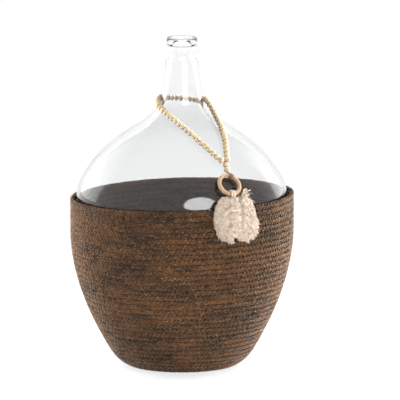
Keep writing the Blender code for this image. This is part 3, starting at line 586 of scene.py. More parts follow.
def bottle_outline():
    """Closed outline of the bottle's wall, standing at height 0."""
    body = joined(heel_line(14), side_line(36), shoulder_line(40), fillet_line(26), neck_line(14))
    share = (body[:, 1] - NECK_HEIGHT + FILLET_LOW) / (BOTTLE_HEIGHT - NECK_HEIGHT)
    wall = BODY_WALL + (NECK_WALL - BODY_WALL) * np.clip(share, 0.0, 1.0)
    inside = (body - line_normals(body) * wall[:, None])[2:][::-1]
    bore = inside[0][0]
    land = FOOT_RADIUS - FOOT_LAND
    dome = PUNT_HEIGHT + BOTTOM_WALL
    radii = np.linspace(0.0, land, 10)
    underside = np.column_stack((radii, PUNT_HEIGHT * (1 - (radii / land) ** 2)))
    foot = curve(((land, 0.0), (land + 0.001, 0.0), (FOOT_RADIUS, 0.0)), 4)
    floor = np.column_stack((radii, dome - (dome - BOTTOM_WALL) * (radii / land) ** 2))[::-1]
    mouth = curve(((LIP_RADIUS - LIP_ROUND, BOTTLE_HEIGHT), (bore + 0.0004, BOTTLE_HEIGHT),
                   (bore, BOTTLE_HEIGHT - 0.0012)), 6)
    return joined(underside, foot, body, finish_line(), mouth, inside[inside[:, 1] > BOTTOM_WALL],
                  floor)


def basket_outside(count):
    side = side_line(60)
    side = side + line_normals(side) * (FIT_GAP + PLAIT_THICKNESS) + STANDING
    corner = (BASKET_FOOT_RADIUS + HEEL_CORNER, HEEL_LIFT)
    heel = curve(((BASKET_FOOT_RADIUS, 0.0), corner, side[0]), 16)
    return even_line(joined(heel, side, np.array(((side[-1][0], BASKET_HEIGHT),))), count)


# Places in space
def unit(vectors):
    return vectors / np.maximum(np.linalg.norm(vectors, axis=-1, keepdims=True), 1e-12)


def full_turn(count):
    return 2 * np.pi * np.arange(count) / count


def outward(azimuth):
    turn = np.radians(azimuth)
    return np.stack((np.sin(turn), -np.cos(turn), np.zeros_like(turn)), axis=-1)


GLASS = joined(shoulder_line(160), fillet_line(160), neck_line(40)) + STANDING
GLASS_NORMALS = line_normals(GLASS)


def on_glass(azimuth, height, lift):
    """The point at a height that clears the glass by a lift, and the glass's normal there."""
    lifted = GLASS + GLASS_NORMALS * lift
    radius, out, up = read_off(height, lifted[:, 1], (lifted[:, 0], *GLASS_NORMALS.T))
    level = outward(azimuth)
    return level * radius + UP * height, unit(level * out + UP * up)


def smooth_route(points, fineness):
    """Catmull-Rom curve through points in space."""
    points = [np.array(p) for p in points]
    ends = [2 * points[0] - points[1]] + points + [2 * points[-1] - points[-2]]
    route = []
    for a, b, c, d in zip(ends, ends[1:], ends[2:], ends[3:]):
        for t in np.arange(fineness) / fineness:
            route.append(0.5 * (2 * b + (c - a) * t + (2 * a - 5 * b + 4 * c - d) * t ** 2
                                + (3 * b - a - 3 * c + d) * t ** 3))
    return np.array(route + [points[-1]])


def leaned(points):
    """Basket points raised on the side where the sewn rows climb."""
    points = np.array(points)
    points[..., 2] += RIM_SLOPE * points[..., 0] * points[..., 2] / BASKET_HEIGHT
    return points


# Meshes
def sections(route, facing, half_width, half_thickness, sides, twist=0.0, lobes=0, lobe_depth=0.0):
    """Oval sections along a route; facing is the direction of their thin side."""
    along = unit(np.gradient(route, axis=0))
    across = unit(np.cross(along, facing))
    out = np.cross(across, along)
    angle = full_turn(sides)
    reach = 1.0
    if lobes:
        wave = np.cos(lobes * (angle[None, :] - np.reshape(twist, (-1, 1))))
        reach = 1 - lobe_depth * (0.5 - 0.5 * wave)
    x = np.reshape(half_width, (-1, 1)) * np.cos(angle)[None, :] * reach
    y = np.reshape(half_thickness, (-1, 1)) * np.sin(angle)[None, :] * reach
    return route[:, None, :] + across[:, None, :] * x[..., None] + out[:, None, :] * y[..., None]


def strand_marks(travel, sides, number):
    """Attribute for a strand: place along it, place round it and its own number."""
    marks = np.zeros((len(travel), sides, 3))
    marks[..., 0] = travel[:, None]
    marks[..., 1] = np.abs(np.linspace(-1.0, 1.0, sides, endpoint=False))
    marks[..., 2] = number
    return marks


def skin(here):
    """Faces over vertex numbers, one closed ring of them in each row."""
    after = np.roll(here, -1, axis=1)
    faces = np.stack((here[:-1], after[:-1], after[1:], here[1:]), axis=-1)
    return faces.reshape(-1, 4).tolist()


def put_in_scene(name, data):
    made = bpy.data.objects.new(name, data)
    bpy.context.scene.collection.objects.link(made)
    return made


class Shape:
    """Vertices, faces and a per-vertex attribute, gathered from many strands into one mesh."""

    def __init__(self, attribute="fibre"):
        self.attribute = attribute
        self.points, self.faces, self.marks = [], [], []
        self.count = 0

    def add(self, points, faces, marks):
        self.points.append(points.reshape(-1, 3))
        self.faces += [tuple(self.count + i for i in face) for face in faces]
        self.marks.append(marks.reshape(-1, 3))
        self.count += points.size // 3

    def tube(self, rings, marks, closed=False):
        """Skin over rings of points, (length, sides, 3), with caps or closed on itself."""
        length, sides = rings.shape[:2]
        here = np.arange(length * sides).reshape(length, sides)
        if closed:
            faces = skin(np.vstack((here, here[:1])))
        else:
            faces = skin(here) + [here[0][::-1].tolist(), here[-1].tolist()]
        self.add(rings, faces, marks)

    def strand(self, route, facing, half_width, half_thickness, sides, number, **ply):
        rings = sections(route, facing, half_width, half_thickness, sides, **ply)
        self.tube(rings, strand_marks(travel_along(route), sides, number))

    def turned(self, outline, steps, lean):
        """Solid of revolution whose outline starts and ends on the axis."""
        turns = full_turn(steps)
        level = np.stack((np.cos(turns), np.sin(turns), np.zeros(steps)), axis=-1)
        body = outline[1:-1]
        points = body[:, None, :1] * level[None] + body[:, None, 1:] * UP
        if lean:
            points = leaned(points)
        here = np.arange(len(body) * steps).reshape(len(body), steps)
        low, high = ((row.tolist(), np.roll(row, -1).tolist()) for row in (here[0], here[-1]))
        first = here.size
        faces = skin(here) + [(first, b, a) for a, b in zip(*low)]
        faces += [(first + 1, a, b) for a, b in zip(*high)]
        everything = np.concatenate((points.reshape(-1, 3), outline[[0, -1], 1:] * UP))
        self.add(everything, faces, np.zeros_like(everything))

    def piece(self, name, finish, body, *nodes, slot):
        """Makes the mesh an object that rides its body and stands for its nodes."""
        mesh = bpy.data.meshes.new(name)
        mesh.from_pydata(np.concatenate(self.points).tolist(), [], self.faces)
        data = mesh.attributes.new(self.attribute, "FLOAT_VECTOR", "POINT")
        data.data.foreach_set("vector", np.concatenate(self.marks).astype(np.float32).ravel())
        mesh.update()
        mesh.validate()
        mesh.shade_smooth()
        mesh.materials.append(finish)
        made = put_in_scene(name, mesh)
        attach(made, body)
        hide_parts(*nodes)


# Basket
def plait_row_frames(line, row_places, turns):
    """Centre, up-the-wall and outward directions of the plait, for places along the profile."""
    columns = (*line.T, *line_normals(line).T)
    radius, height, out, up = (column[:, None]
                               for column in read_off(row_places, travel_along(line), columns))
    level = outward(np.degrees(turns))
    normal = level * out + UP * up
    climb = level * -up + UP * out
    surface = level * radius + UP * height
    return leaned(surface - normal * (PLAIT_THICKNESS / 2)), climb, normal


def drift(travel, change, seed):
    """Slow random change along a strand, within plus and minus an amount."""
    spacing, amount = change
    stops = np.arange(0.0, travel[-1] + 2 * spacing, spacing)
    chance = np.random.default_rng(seed)
    return np.interp(travel, stops, chance.uniform(-amount, amount, len(stops)))


def plait(shapes, frames, travel, settings, width, thin):
    """Three strands over and under each other along the plait's centre line."""
    centre, climb, normal = frames
    ease = np.clip(np.minimum(travel, travel[-1] - travel) / END_TAPER, thin, 1.0)
    sway = (width - settings.strand_width) / 2
    depth = (PLAIT_THICKNESS - settings.strand_thickness) / 2
    slip = drift(travel, SLIP, SLIP_SEED)
    for number, shape in enumerate(shapes):
        phase = (2 * np.pi * (travel / settings.stitch + number / 3) + slip
                 + drift(travel, STRAND_SLIP, number))
        full = ease * (1 + drift(travel, FULLNESS, FULLNESS_SEED + number))
        over = OVER_MIDDLE + OVER_SWING * np.tanh(OVER_SHARPNESS * np.sin(2 * phase))
        route = (centre + climb * (sway * np.sin(phase) * ease)[:, None]
                 + normal * (depth * over * ease)[:, None])
        rings = sections(route, normal, settings.strand_width / 2 * full,
                         settings.strand_thickness / 2 * ease, STRAND_SIDES)
        shape.tube(rings, strand_marks(travel, STRAND_SIDES, number + 1.0))


def seam_step(turns):
    """Row number along a coil that moves up to its next row over the last part of each turn."""
    t = np.clip((turns % 1 - 1 + SEAM_SHARE) / SEAM_SHARE, 0.0, 1.0)
    return np.floor(turns) + t * t * (3 - 2 * t)


def coil(rows, radius_at, place_of, stitch):
    """Row places, turns and travel of a coil with its seam at the back."""
    coarse = np.linspace(0.0, rows, rows * COIL_STEPS + 1)[:-1]
    step = 2 * np.pi * radius_at(place_of(seam_step(coarse))) / COIL_STEPS
    travel = np.concatenate(((0.0,), np.cumsum(step[:-1])))
    stops = np.arange(0.0, travel[-1], stitch / POINTS_PER_STITCH)
    turns = np.interp(stops, travel, coarse)
    return place_of(seam_step(turns)), np.pi + turns * 2 * np.pi, stops


# The operators, one for each piece or group of like pieces
class VASE_OT_basket(bpy.types.Operator):
    """Plait coiled up the wall, its dark lining and the coiled mat of the bottom"""
    bl_idname = "vase.basket"
    bl_label = "Basket"

    def execute(self, context):
        settings = context.scene.vase.basket
        finish = plait_finish(settings)
        line = basket_outside(600)
        self.build_wall(line, finish, settings)
        self.build_mat(finish, settings)
        self.build_lining(line)
        return {"FINISHED"}

    def build_wall(self, line, finish, settings):
        along_profile = travel_along(line)
        length = along_profile[-1]
        rows = round(length / PLAIT_WIDTH)
        pitch = length / rows

        def radius_at(place):
            return np.interp(place, along_profile, line[:, 0]) - PLAIT_THICKNESS / 2

        def place_of(row):
            return np.minimum((row + 0.5) * pitch, length - pitch / 2)

        place, turns, travel = coil(rows, radius_at, place_of, settings.stitch)
        wall = [Shape() for _ in range(3)]
        plait(wall, plait_row_frames(line, place, turns), travel, settings,
              pitch * WALL_CROWDING, 0.25)
        for letter, shape in zip("abc", wall):
            shape.piece(f"plait_strand_{letter}", finish, "basket", "basket_wall",
                        slot="dark_plait")

    def build_mat(self, finish, settings):
        rows = round(BASKET_FOOT_RADIUS / PLAIT_WIDTH)
        pitch = BASKET_FOOT_RADIUS / rows
        place, turns, travel = coil(rows, lambda radius: np.maximum(radius, 0.003),
                                    lambda row: (row + 0.5) * pitch, settings.stitch)
        level = outward(np.degrees(turns))
        centre = level * place[:, None] + UP * (PLAIT_THICKNESS / 2)
        mat = Shape()
        plait([mat] * 3, (centre, level, np.broadcast_to(-UP, centre.shape)), travel, settings,
              pitch * MAT_CROWDING, 0.3)
        mat.piece("plait_mat", finish, "basket", "basket_base", slot="dark_plait_mat")

    def build_lining(self, line):
        front, back = (even_line(line - line_normals(line) * (PLAIT_THICKNESS * share), 90)
                       for share in (LINING_FRONT, LINING_BACK))
        front[-1][1] = back[-1][1] = BASKET_HEIGHT - LINING_DROP
        floor, ceiling = (np.array(((0.0, PLAIT_THICKNESS * share),))
                          for share in (1 - LINING_BACK, LINING_BACK))
        lining = Shape()
        lining.turned(joined(floor, front, back[::-1], ceiling), 120, lean=True)
        lining.piece("plait_lining", lining_finish(), "basket", "basket_wall", "basket_base",
                     slot="dark_plait")


class VASE_OT_bottle(bpy.types.Operator):
    """Hollow blown bottle with its punt, long neck, collar and lip"""
    bl_idname = "vase.bottle"
    bl_label = "Bottle"

    def execute(self, context):
        settings = context.scene.vase.bottle
        shape = Shape()
        shape.turned(bottle_outline() + STANDING, settings.facets, lean=False)
        shape.piece("blown_bottle", glass_finish(settings), "bottle", "glass_bottle",
                    slot="clear_glass")
        return {"FINISHED"}


# Garland
def garland_points():
    root = NECK_HEIGHT + BOTTLE_BASE
    stops = [on_glass(azimuth, root - drop * MM, BEAD_RADIUS + SEAT_GAP + extra * MM)[0]
             for azimuth, drop, extra in GARLAND_ROUTE]
    route = smooth_route(stops, 24)
    beads = int(travel_along(route)[-1] / (BEAD_LENGTH + BEAD_GAP))
    return even_line(route, beads + 1)


JUNCTION = on_glass(JUNCTION_AZIMUTH, NECK_HEIGHT + BOTTLE_BASE - JUNCTION_DROP,
                    BEAD_RADIUS + SEAT_GAP)[0]


def bead(shape, centre, axis, seed):
    """Turned bead, a little flattened at the bore, with a countersunk hole."""
    chance = np.random.default_rng(seed)
    start = math.asin(BEAD_MOUTH / BEAD_RADIUS)
    turn = np.linspace(start, math.pi - start, 13)
    outer = np.column_stack((BEAD_RADIUS * np.sin(turn) ** 0.94, -BEAD_LENGTH / 2 * np.cos(turn)))
    hole = ((BEAD_HOLE, BEAD_LENGTH * 0.4), (BEAD_HOLE, -BEAD_LENGTH * 0.4))
    outline = np.vstack((outer, hole))
    angle = full_turn(20)[:, None]
    side = unit(np.cross(axis, UP + 0.1))
    ring = np.cos(angle) * side + np.sin(angle) * np.cross(axis, side)
    local = outline[:, None, :1] * ring[None] + outline[:, None, 1:] * axis
    marks = local @ np.linalg.qr(chance.normal(size=(3, 3)))[0] + chance.uniform(0, 0.4, 3)
    shape.tube(centre + local, marks, closed=True)


def twisted_cord(shape, route, radius, facing, number):
    """Two-ply cord along a route; the facing is one direction or one for each point."""
    facing = np.broadcast_to(facing, route.shape)
    shape.strand(route, facing, radius, radius, CORD_SIDES, number,
                 twist=travel_along(route) / CORD_LAY * np.pi, lobes=2, lobe_depth=0.22)


class VASE_OT_garland(bpy.types.Operator):
    """Wooden beads on a knotted string round the neck, and the two pendant beads below the knot"""
    bl_idname = "vase.garland"
    bl_label = "Garland"

    def execute(self, context):
        settings = context.scene.vase.garland
        wood = wood_finish("bead_wood", settings, 1.0)
        twine = twine_finish(settings)
        points = garland_points()
        beads = Shape("grain")
        for number, (low, high) in enumerate(zip(points, points[1:])):
            bead(beads, (low + high) / 2, unit(high - low), number)
        loose = [name for name in frame["nodes"]
                 if name.startswith("bead_") and name != "bead_string"]
        beads.piece("garland_beads", wood, "garland", *loose, "bead_string", slot="bead_wood")

        out = on_glass(JUNCTION_AZIMUTH, float(JUNCTION[2]), 0.0)[1]
        self.build_string(points, out, twine)
        self.build_pendant(out, wood, twine)
        return {"FINISHED"}

    def build_string(self, points, out, twine):
        """The loop round the neck and its knot."""
        string = Shape()
        loop = even_line(smooth_route(np.vstack((JUNCTION, points, JUNCTION)), 6), 900)
        twisted_cord(string, loop, STRING_RADIUS, unit(loop * LEVEL + UP * 0.02), 1.0)
        side = unit(np.cross(UP, out))
        climb = np.cross(out, side)
        turn = np.linspace(0.0, 4 * np.pi, 60)
        wide = KNOT_RADIUS + 0.0001 * np.sin(turn * 1.5)
        knot = (JUNCTION + side * (wide * np.cos(turn))[:, None]
                + out * (wide * np.sin(turn))[:, None]
                + climb * np.linspace(-0.0003, 0.0009, 60)[:, None])
        twisted_cord(string, knot, STRING_RADIUS * 1.1, climb, 2.0)
        string.piece("garland_string", twine, "garland", "bead_string", slot="brown_twine")

    def build_pendant(self, out, wood, twine):
        """Two beads on the doubled string, from the knot to the hitch."""
        joint = RingPlace().joint
        along = unit(joint - JUNCTION)
        reach = np.linalg.norm(joint - JUNCTION)
        spacing = BEAD_LENGTH + PENDANT_GAP
        hanging = Shape("grain")
        for number in range(2):
            place = (reach - spacing) / 2 + spacing * number
            bead(hanging, JUNCTION + along * place, along, 90 + number)
        hanging.piece("pendant_beads", wood, "pendant", "pendant_bead_1", "pendant_bead_2",
                      slot="bead_wood")
        line = JUNCTION + along * np.linspace(0.0016, reach + 0.0002, 60)[:, None]
        doubled = Shape()
        twisted_cord(doubled, line, STRING_RADIUS, out, 3.0)
        doubled.piece("pendant_cord", twine, "pendant", "pendant_string", slot="brown_twine")


class RingPlace:
    """Where the ring lies, read from the frame's joints and the ring's own mesh."""

    def __init__(self):
        joints = {joint["name"]: joint for joint in frame["joints"]}
        self.joint = np.array(joints["ring_swing"]["pos_m"])
        self.hanger = np.array(joints["tassel_swing"]["pos_m"])
        self.hinge = unit(np.array(joints["tassel_swing"]["axis"]))
        self.right = unit(-np.array(joints["ring_swing"]["axis"]))
        corners = np.array([v.co for v in frame["nodes"]["wooden_ring"].data.vertices])
        self.centre = corners.mean(axis=0)
        spread = np.linalg.svd(corners - self.centre, full_matrices=False)[2]
        out = spread[2] * np.sign(spread[2] @ self.centre)
        self.out = unit(out - self.right * (out @ self.right))
        self.up = np.cross(self.out, self.right)
        if self.up[2] < 0:
            self.up = -self.up

    def bar_point(self, turn, swing, distance):
        """Point off the bar's middle, at a turn round the ring and a swing round the bar."""
        turn, swing = np.asarray(turn)[..., None], np.asarray(swing)[..., None]
        radial = self.up * np.cos(turn) + self.right * np.sin(turn)
        side = radial * np.cos(swing) + self.out * np.sin(swing)
        return self.centre + radial * RING_RADIUS + side * distance


class VASE_OT_ring(bpy.types.Operator):
    """Round wooden ring and the string's end wound round its top"""
    bl_idname = "vase.ring"
    bl_label = "Ring"

    def execute(self, context):
        ring = RingPlace()
        grid = ring.bar_point(full_turn(96)[:, None], full_turn(20)[None, :], BAR_RADIUS)
        local = (grid - ring.centre) @ np.stack((ring.right, ring.out, ring.up), axis=1)
        shape = Shape("grain")
        shape.tube(grid, local, closed=True)
        shape.piece("turned_ring", wood_finish("ring_wood", context.scene.vase.ring, 0.7), "ring",
                    "wooden_ring", slot="ring_wood")

        share = np.linspace(0.0, 1.0, HITCH_TURNS * 40)
        start = math.radians(HITCH_START)
        turn = np.radians(HITCH_SPREAD) * share
        route = ring.bar_point(turn, start + 2 * np.pi * HITCH_TURNS * share, HITCH_RADIUS)
        facing = unit(route - ring.bar_point(turn, start, 0.0))
        hitch = Shape()
        twisted_cord(hitch, route, HITCH_CORD / 2, facing, 5.0)
        hitch.piece("hitch_winding", twine_finish(context.scene.vase.garland), "ring",
                    "string_hitch", slot="brown_twine")
        return {"FINISHED"}


# Tassel
class Drape:
    """The line the tassel hangs along, over the rim and down the wall."""

    def __init__(self, ring):
        self.azimuth = math.degrees(math.atan2(ring.hanger[0], -ring.hanger[1]))
        start = (math.hypot(ring.hanger[0], ring.hanger[1]), ring.hanger[2])
        wall = float(basket_outside(400)[:, 0].max())
        self.hang = max(wall + TASSEL_GAP + SPINE_THICKNESS / 2, start[0])
        top = min(BASKET_HEIGHT + BEND_RISE, start[1])
        bend = curve((start, (self.hang, top), (self.hang, top - BEND_RISE - BEND_FALL)), 24)
        self.line = np.vstack((bend, ((self.hang, -0.1),)))
        self.travel = travel_along(self.line)
        self.normals = -line_normals(self.line)

    def point(self, across, down, lift):
        """A point given by its way across the wall, down the line and off it."""
        across, down, lift = np.broadcast_arrays(across, down, lift)
        radius, height, out, rise = read_off(down, self.travel, (*self.line.T, *self.normals.T))
        lead = (self.line[1] - self.line[0]) / self.travel[1]
        above = np.minimum(down, 0.0)
        radius, height = radius + lead[0] * above, height + lead[1] * above
        azimuth = self.azimuth + np.degrees((across + TASSEL_SLANT * down) / self.hang)
        return (outward(azimuth) * (radius + out * lift)[..., None]
                + UP * (height + rise * lift)[..., None])


def spine_half_width(down):
    share = (down - SPINE_START) / SPINE_LENGTH
    taper = 0.72 + 0.28 * np.sin(np.pi * np.clip(share * 0.9 + 0.12, 0.0, 1.0))
    return SPINE_WIDTH / 2 * taper


def drape_tube(shape, drape, route, half_width, half_thickness, sides, number, **ply):
    """Tube on the drape, along (across, down, lift) points."""
    points = drape.point(*route.T)
    shape.strand(points, unit(points * LEVEL + UP * 0.03), half_width, half_thickness, sides,
                 number, **ply)


def add_lock(shape, drape, chance, middle, radius, diameter, count):
    """Combed end of one cord: plies of crimped strands round a soft core."""
    travel = travel_along(middle)
    share = travel / travel[-1]
    ahead = unit(np.gradient(middle[:, :2], axis=0))
    columns = (*middle.T, -ahead[:, 1], ahead[:, 0])
    fan = radius * (0.55 + 0.45 * np.minimum(share * 2.6, 1.0))
    core = fan * 0.60 * (1.04 - share ** 3)
    drape_tube(shape, drape, middle[:-1], core[:-1], core[:-1] * 0.85, 8, chance.uniform(0, 300))
    back = 0.0004 - SPINE_THICKNESS / 2
    pitch = chance.uniform(0.010, 0.015)
    start = chance.uniform(0, 2 * np.pi)
    ripple_turns = travel / chance.uniform(0.0065, 0.0085)
    ripple = RIPPLE * np.sin(2 * np.pi * ripple_turns + start) * (share > 0.1)
    for number in range(count):
        ply = number % LOCK_PLIES
        keep = chance.uniform(0.76, 1.0)
        across, down, lift, *side = read_off(share * keep, share, columns)
        lay = 2 * np.pi * (travel * keep / pitch + ply / LOCK_PLIES) + start
        wave = (2 * np.pi * travel * keep / (CRIMP_LENGTH + CRIMP_STEP * ply) + 1.9 * ply
                + chance.normal(0, 0.9))
        crimp = chance.uniform(0.00025, 0.00085) * np.minimum(share * 4, 1.0)
        far, angle = 0.72 * math.sqrt(chance.uniform()), chance.uniform(0, 2 * np.pi)
        reach = STRAY_REACH if chance.uniform() < STRAY_SHARE else STRAND_REACH
        stray = chance.normal(0, reach) * share ** 2
        aside = (fan * (0.44 * np.cos(lay) + far * math.cos(angle)) + crimp * np.sin(wave) + stray
                 + ripple)
        rise = (fan * (0.42 * np.sin(lay) + 0.7 * far * math.sin(angle)) + crimp * np.cos(wave)
                + ripple)
        lift = np.maximum(lift + rise, back + 0.0006 * share * chance.uniform())
        line = np.column_stack((across + side[0] * aside, down + side[1] * aside, lift))
        half = diameter / 2 * chance.uniform(0.75, 1.25) * (1 - 0.45 * share ** 3)
        drape_tube(shape, drape, line, half, half, 3, 17.0 * ply + chance.uniform(0, 3))


def fringe(name, finish, drape, locks, long_ones, node, settings, seed):
    """All locks on one side of the spine, the long ones under the short ones."""
    chance = np.random.default_rng(seed)
    shape = Shape()
    numbers = np.arange(len(locks))
    places = np.concatenate((np.arange(0.0, long_ones - 0.9, 0.5), numbers[long_ones:]))
    share = np.linspace(0.0, 1.0, LOCK_POINTS)
    for place in places:
        down, *bends = read_off(place, numbers, np.array(locks).T * MM)
        knee, tip = np.reshape(bends, (2, 2)) * (1.0, 1.0 - 0.03 * (place % 1.0))
        root = (math.copysign(spine_half_width(down) * 0.70, tip[0]), down)
        line = curve((root, knee, tip + chance.normal(0, 0.0006, 2)), LOCK_POINTS)
        over = 0.0 if place < long_ones else SHORT_LOCK_RISE
        crown = (0.0010 + 0.0012 * chance.uniform()
                 + over * np.sin(np.pi * np.minimum(share * 1.3 + 0.1, 1.0)))
        lift = -0.0004 + ((crown + 0.0004 - SPINE_THICKNESS / 2 + LOCK_RADIUS * 0.3)
                          * np.minimum(share * 3, 1.0))
        add_lock(shape, drape, chance, np.column_stack((line, lift)),
                 LOCK_RADIUS * chance.uniform(0.9, 1.1), settings.strand_diameter,
                 settings.strands)
    shape.piece(name, finish, "tassel", node, slot="combed_cotton")


class VASE_OT_tassel(bpy.types.Operator):
    """Cotton loop, knotted spine, combed fringe on both sides and the frayed tail"""
    bl_idname = "vase.tassel"
    bl_label = "Tassel"

    def execute(self, context):
        settings = context.scene.vase.tassel
        # The knotted copy takes a little more of the shade colour than the combed one: painted
        # shade that dims the smooth knots, which catch more light
        knotted = cotton_finish(settings, "knotted_cotton", 0.0, 0.40)
        combed = cotton_finish(settings, "combed_cotton", 0.45, 0.38)
        ring = RingPlace()
        drape = Drape(ring)
        self.build_loop(ring, knotted)
        self.build_spine(drape, knotted, settings)
        fringe("fringe_left", combed, drape, LEFT_LOCKS, LONG_LEFT, "tassel_fringe_left",
               settings, LEFT_SEED)
        fringe("fringe_right", combed, drape, RIGHT_LOCKS, LONG_RIGHT, "tassel_fringe_right",
               settings, RIGHT_SEED)
        self.build_tail(drape, combed, settings)
        return {"FINISHED"}

    def build_loop(self, ring, finish):
        """Cords side by side round the ring's bar."""
        shape = Shape()
        axis = ring.hinge
        radius = BAR_RADIUS + LOOP_PLAY + LOOP_THICKNESS / 2
        down = unit(-ring.up - axis * (-ring.up @ axis))
        angle = full_turn(48)[:, None]
        circle = (down * np.cos(angle) + np.cross(axis, down) * np.sin(angle)) * radius
        for number in range(LOOP_CORDS):
            share = (number + 0.5) / LOOP_CORDS - 0.5
            route = ring.hanger + axis * (LOOP_WIDTH * share) + circle
            wrapped = np.vstack((route[-1:], route, route[:1]))
            rings = sections(wrapped, np.broadcast_to(axis, wrapped.shape), LOOP_THICKNESS / 2,
                             LOOP_WIDTH / LOOP_CORDS / 2 * 1.08, CORD_SIDES)[1:-1]
            shape.tube(rings, strand_marks(travel_along(route), CORD_SIDES, 40.0 + number),
                       closed=True)
        shape.piece("tassel_loop_cords", finish, "tassel", "tassel_loop", slot="combed_cotton")

    def build_spine(self, drape, finish, settings):
        """Square knots, two rolls of cord across a flat core for each, with short fuzz on them."""
        shape = Shape()
        down = SPINE_START + SPINE_LENGTH * np.linspace(0.0, 1.0, 60)
        core = np.column_stack((np.zeros(60), down, np.zeros(60)))
        drape_tube(shape, drape, core, spine_half_width(down) * 0.98, CORE_THICKNESS / 2, 16,
                   60.0)
        turn = np.radians(np.linspace(-108.0, 108.0, 25))
        rolls = 2 * SPINE_KNOTS
        for number in range(rolls):
            middle = SPINE_START + SPINE_LENGTH * (number + 0.5) / rolls
            width = spine_half_width(middle) * 1.12
            tilt = ROLL_TILT if number % 2 else -ROLL_TILT
            line = np.column_stack((width * np.sin(turn),
                                    middle + tilt * np.sin(turn) + ROLL_BOW * np.cos(turn),
                                    ROLL_RISE * np.cos(turn)))
            drape_tube(shape, drape, line, SPINE_LENGTH / rolls * 0.58, ROLL_THICKNESS / 2, 14,
                       61.0 + number, twist=turn * 1.2, lobes=6, lobe_depth=0.05)

        chance = np.random.default_rng(FUZZ_SEED)
        share = np.linspace(0.0, 1.0, 6)
        for _ in range(SPINE_FUZZ):
            low = SPINE_START + SPINE_LENGTH * chance.uniform(0.0, 1.0)
            edge = chance.uniform(-1.0, 1.0)
            heading = edge * 0.9 + chance.normal(0, 0.5)
            size = chance.uniform(0.0012, 0.0034)
            bow = chance.uniform(0.0002, 0.0009) * np.sin(np.pi * share)
            across = edge * spine_half_width(low) * 0.95 + size * math.sin(heading) * share + bow
            lift = 0.0030 * math.sqrt(1 - 0.85 * edge * edge) + 0.0007 * np.sin(np.pi * share * 0.9)
            line = np.column_stack((across, low + size * math.cos(heading) * share, lift))
            half = settings.strand_diameter * 0.36 * (1 - 0.5 * share)
            drape_tube(shape, drape, line, half, half, 3, 80.0 + chance.uniform(0, 9))
        shape.piece("knotted_spine", finish, "tassel", "tassel_spine", slot="combed_cotton")

    def build_tail(self, drape, finish, settings):
        """Short frayed locks that fan out at the top right."""
        chance = np.random.default_rng(TAIL_SEED)
        shape = Shape()
        high = FRINGE_THICKNESS - SPINE_THICKNESS / 2 + REST_GAP + TAIL_DIAMETER / 2
        for number, tip in enumerate(np.array(TAIL_TIPS) * MM):
            root = np.array(TAIL_ROOT) * MM + chance.normal(0, 0.0006, 2)
            knee = 0.5 * (root + tip) + chance.normal(0, 0.0014, 2)
            line = curve((root, knee, tip), TAIL_POINTS)
            lift = high - 0.0012 + 0.0009 * (number % 2) + np.linspace(0.0, 0.0010, TAIL_POINTS)
            add_lock(shape, drape, chance, np.column_stack((line, lift)), TAIL_LOCK_RADIUS,
                     settings.strand_diameter, TAIL_STRANDS)
        shape.piece("frayed_tail", finish, "tassel", "tassel_tail", slot="combed_cotton")


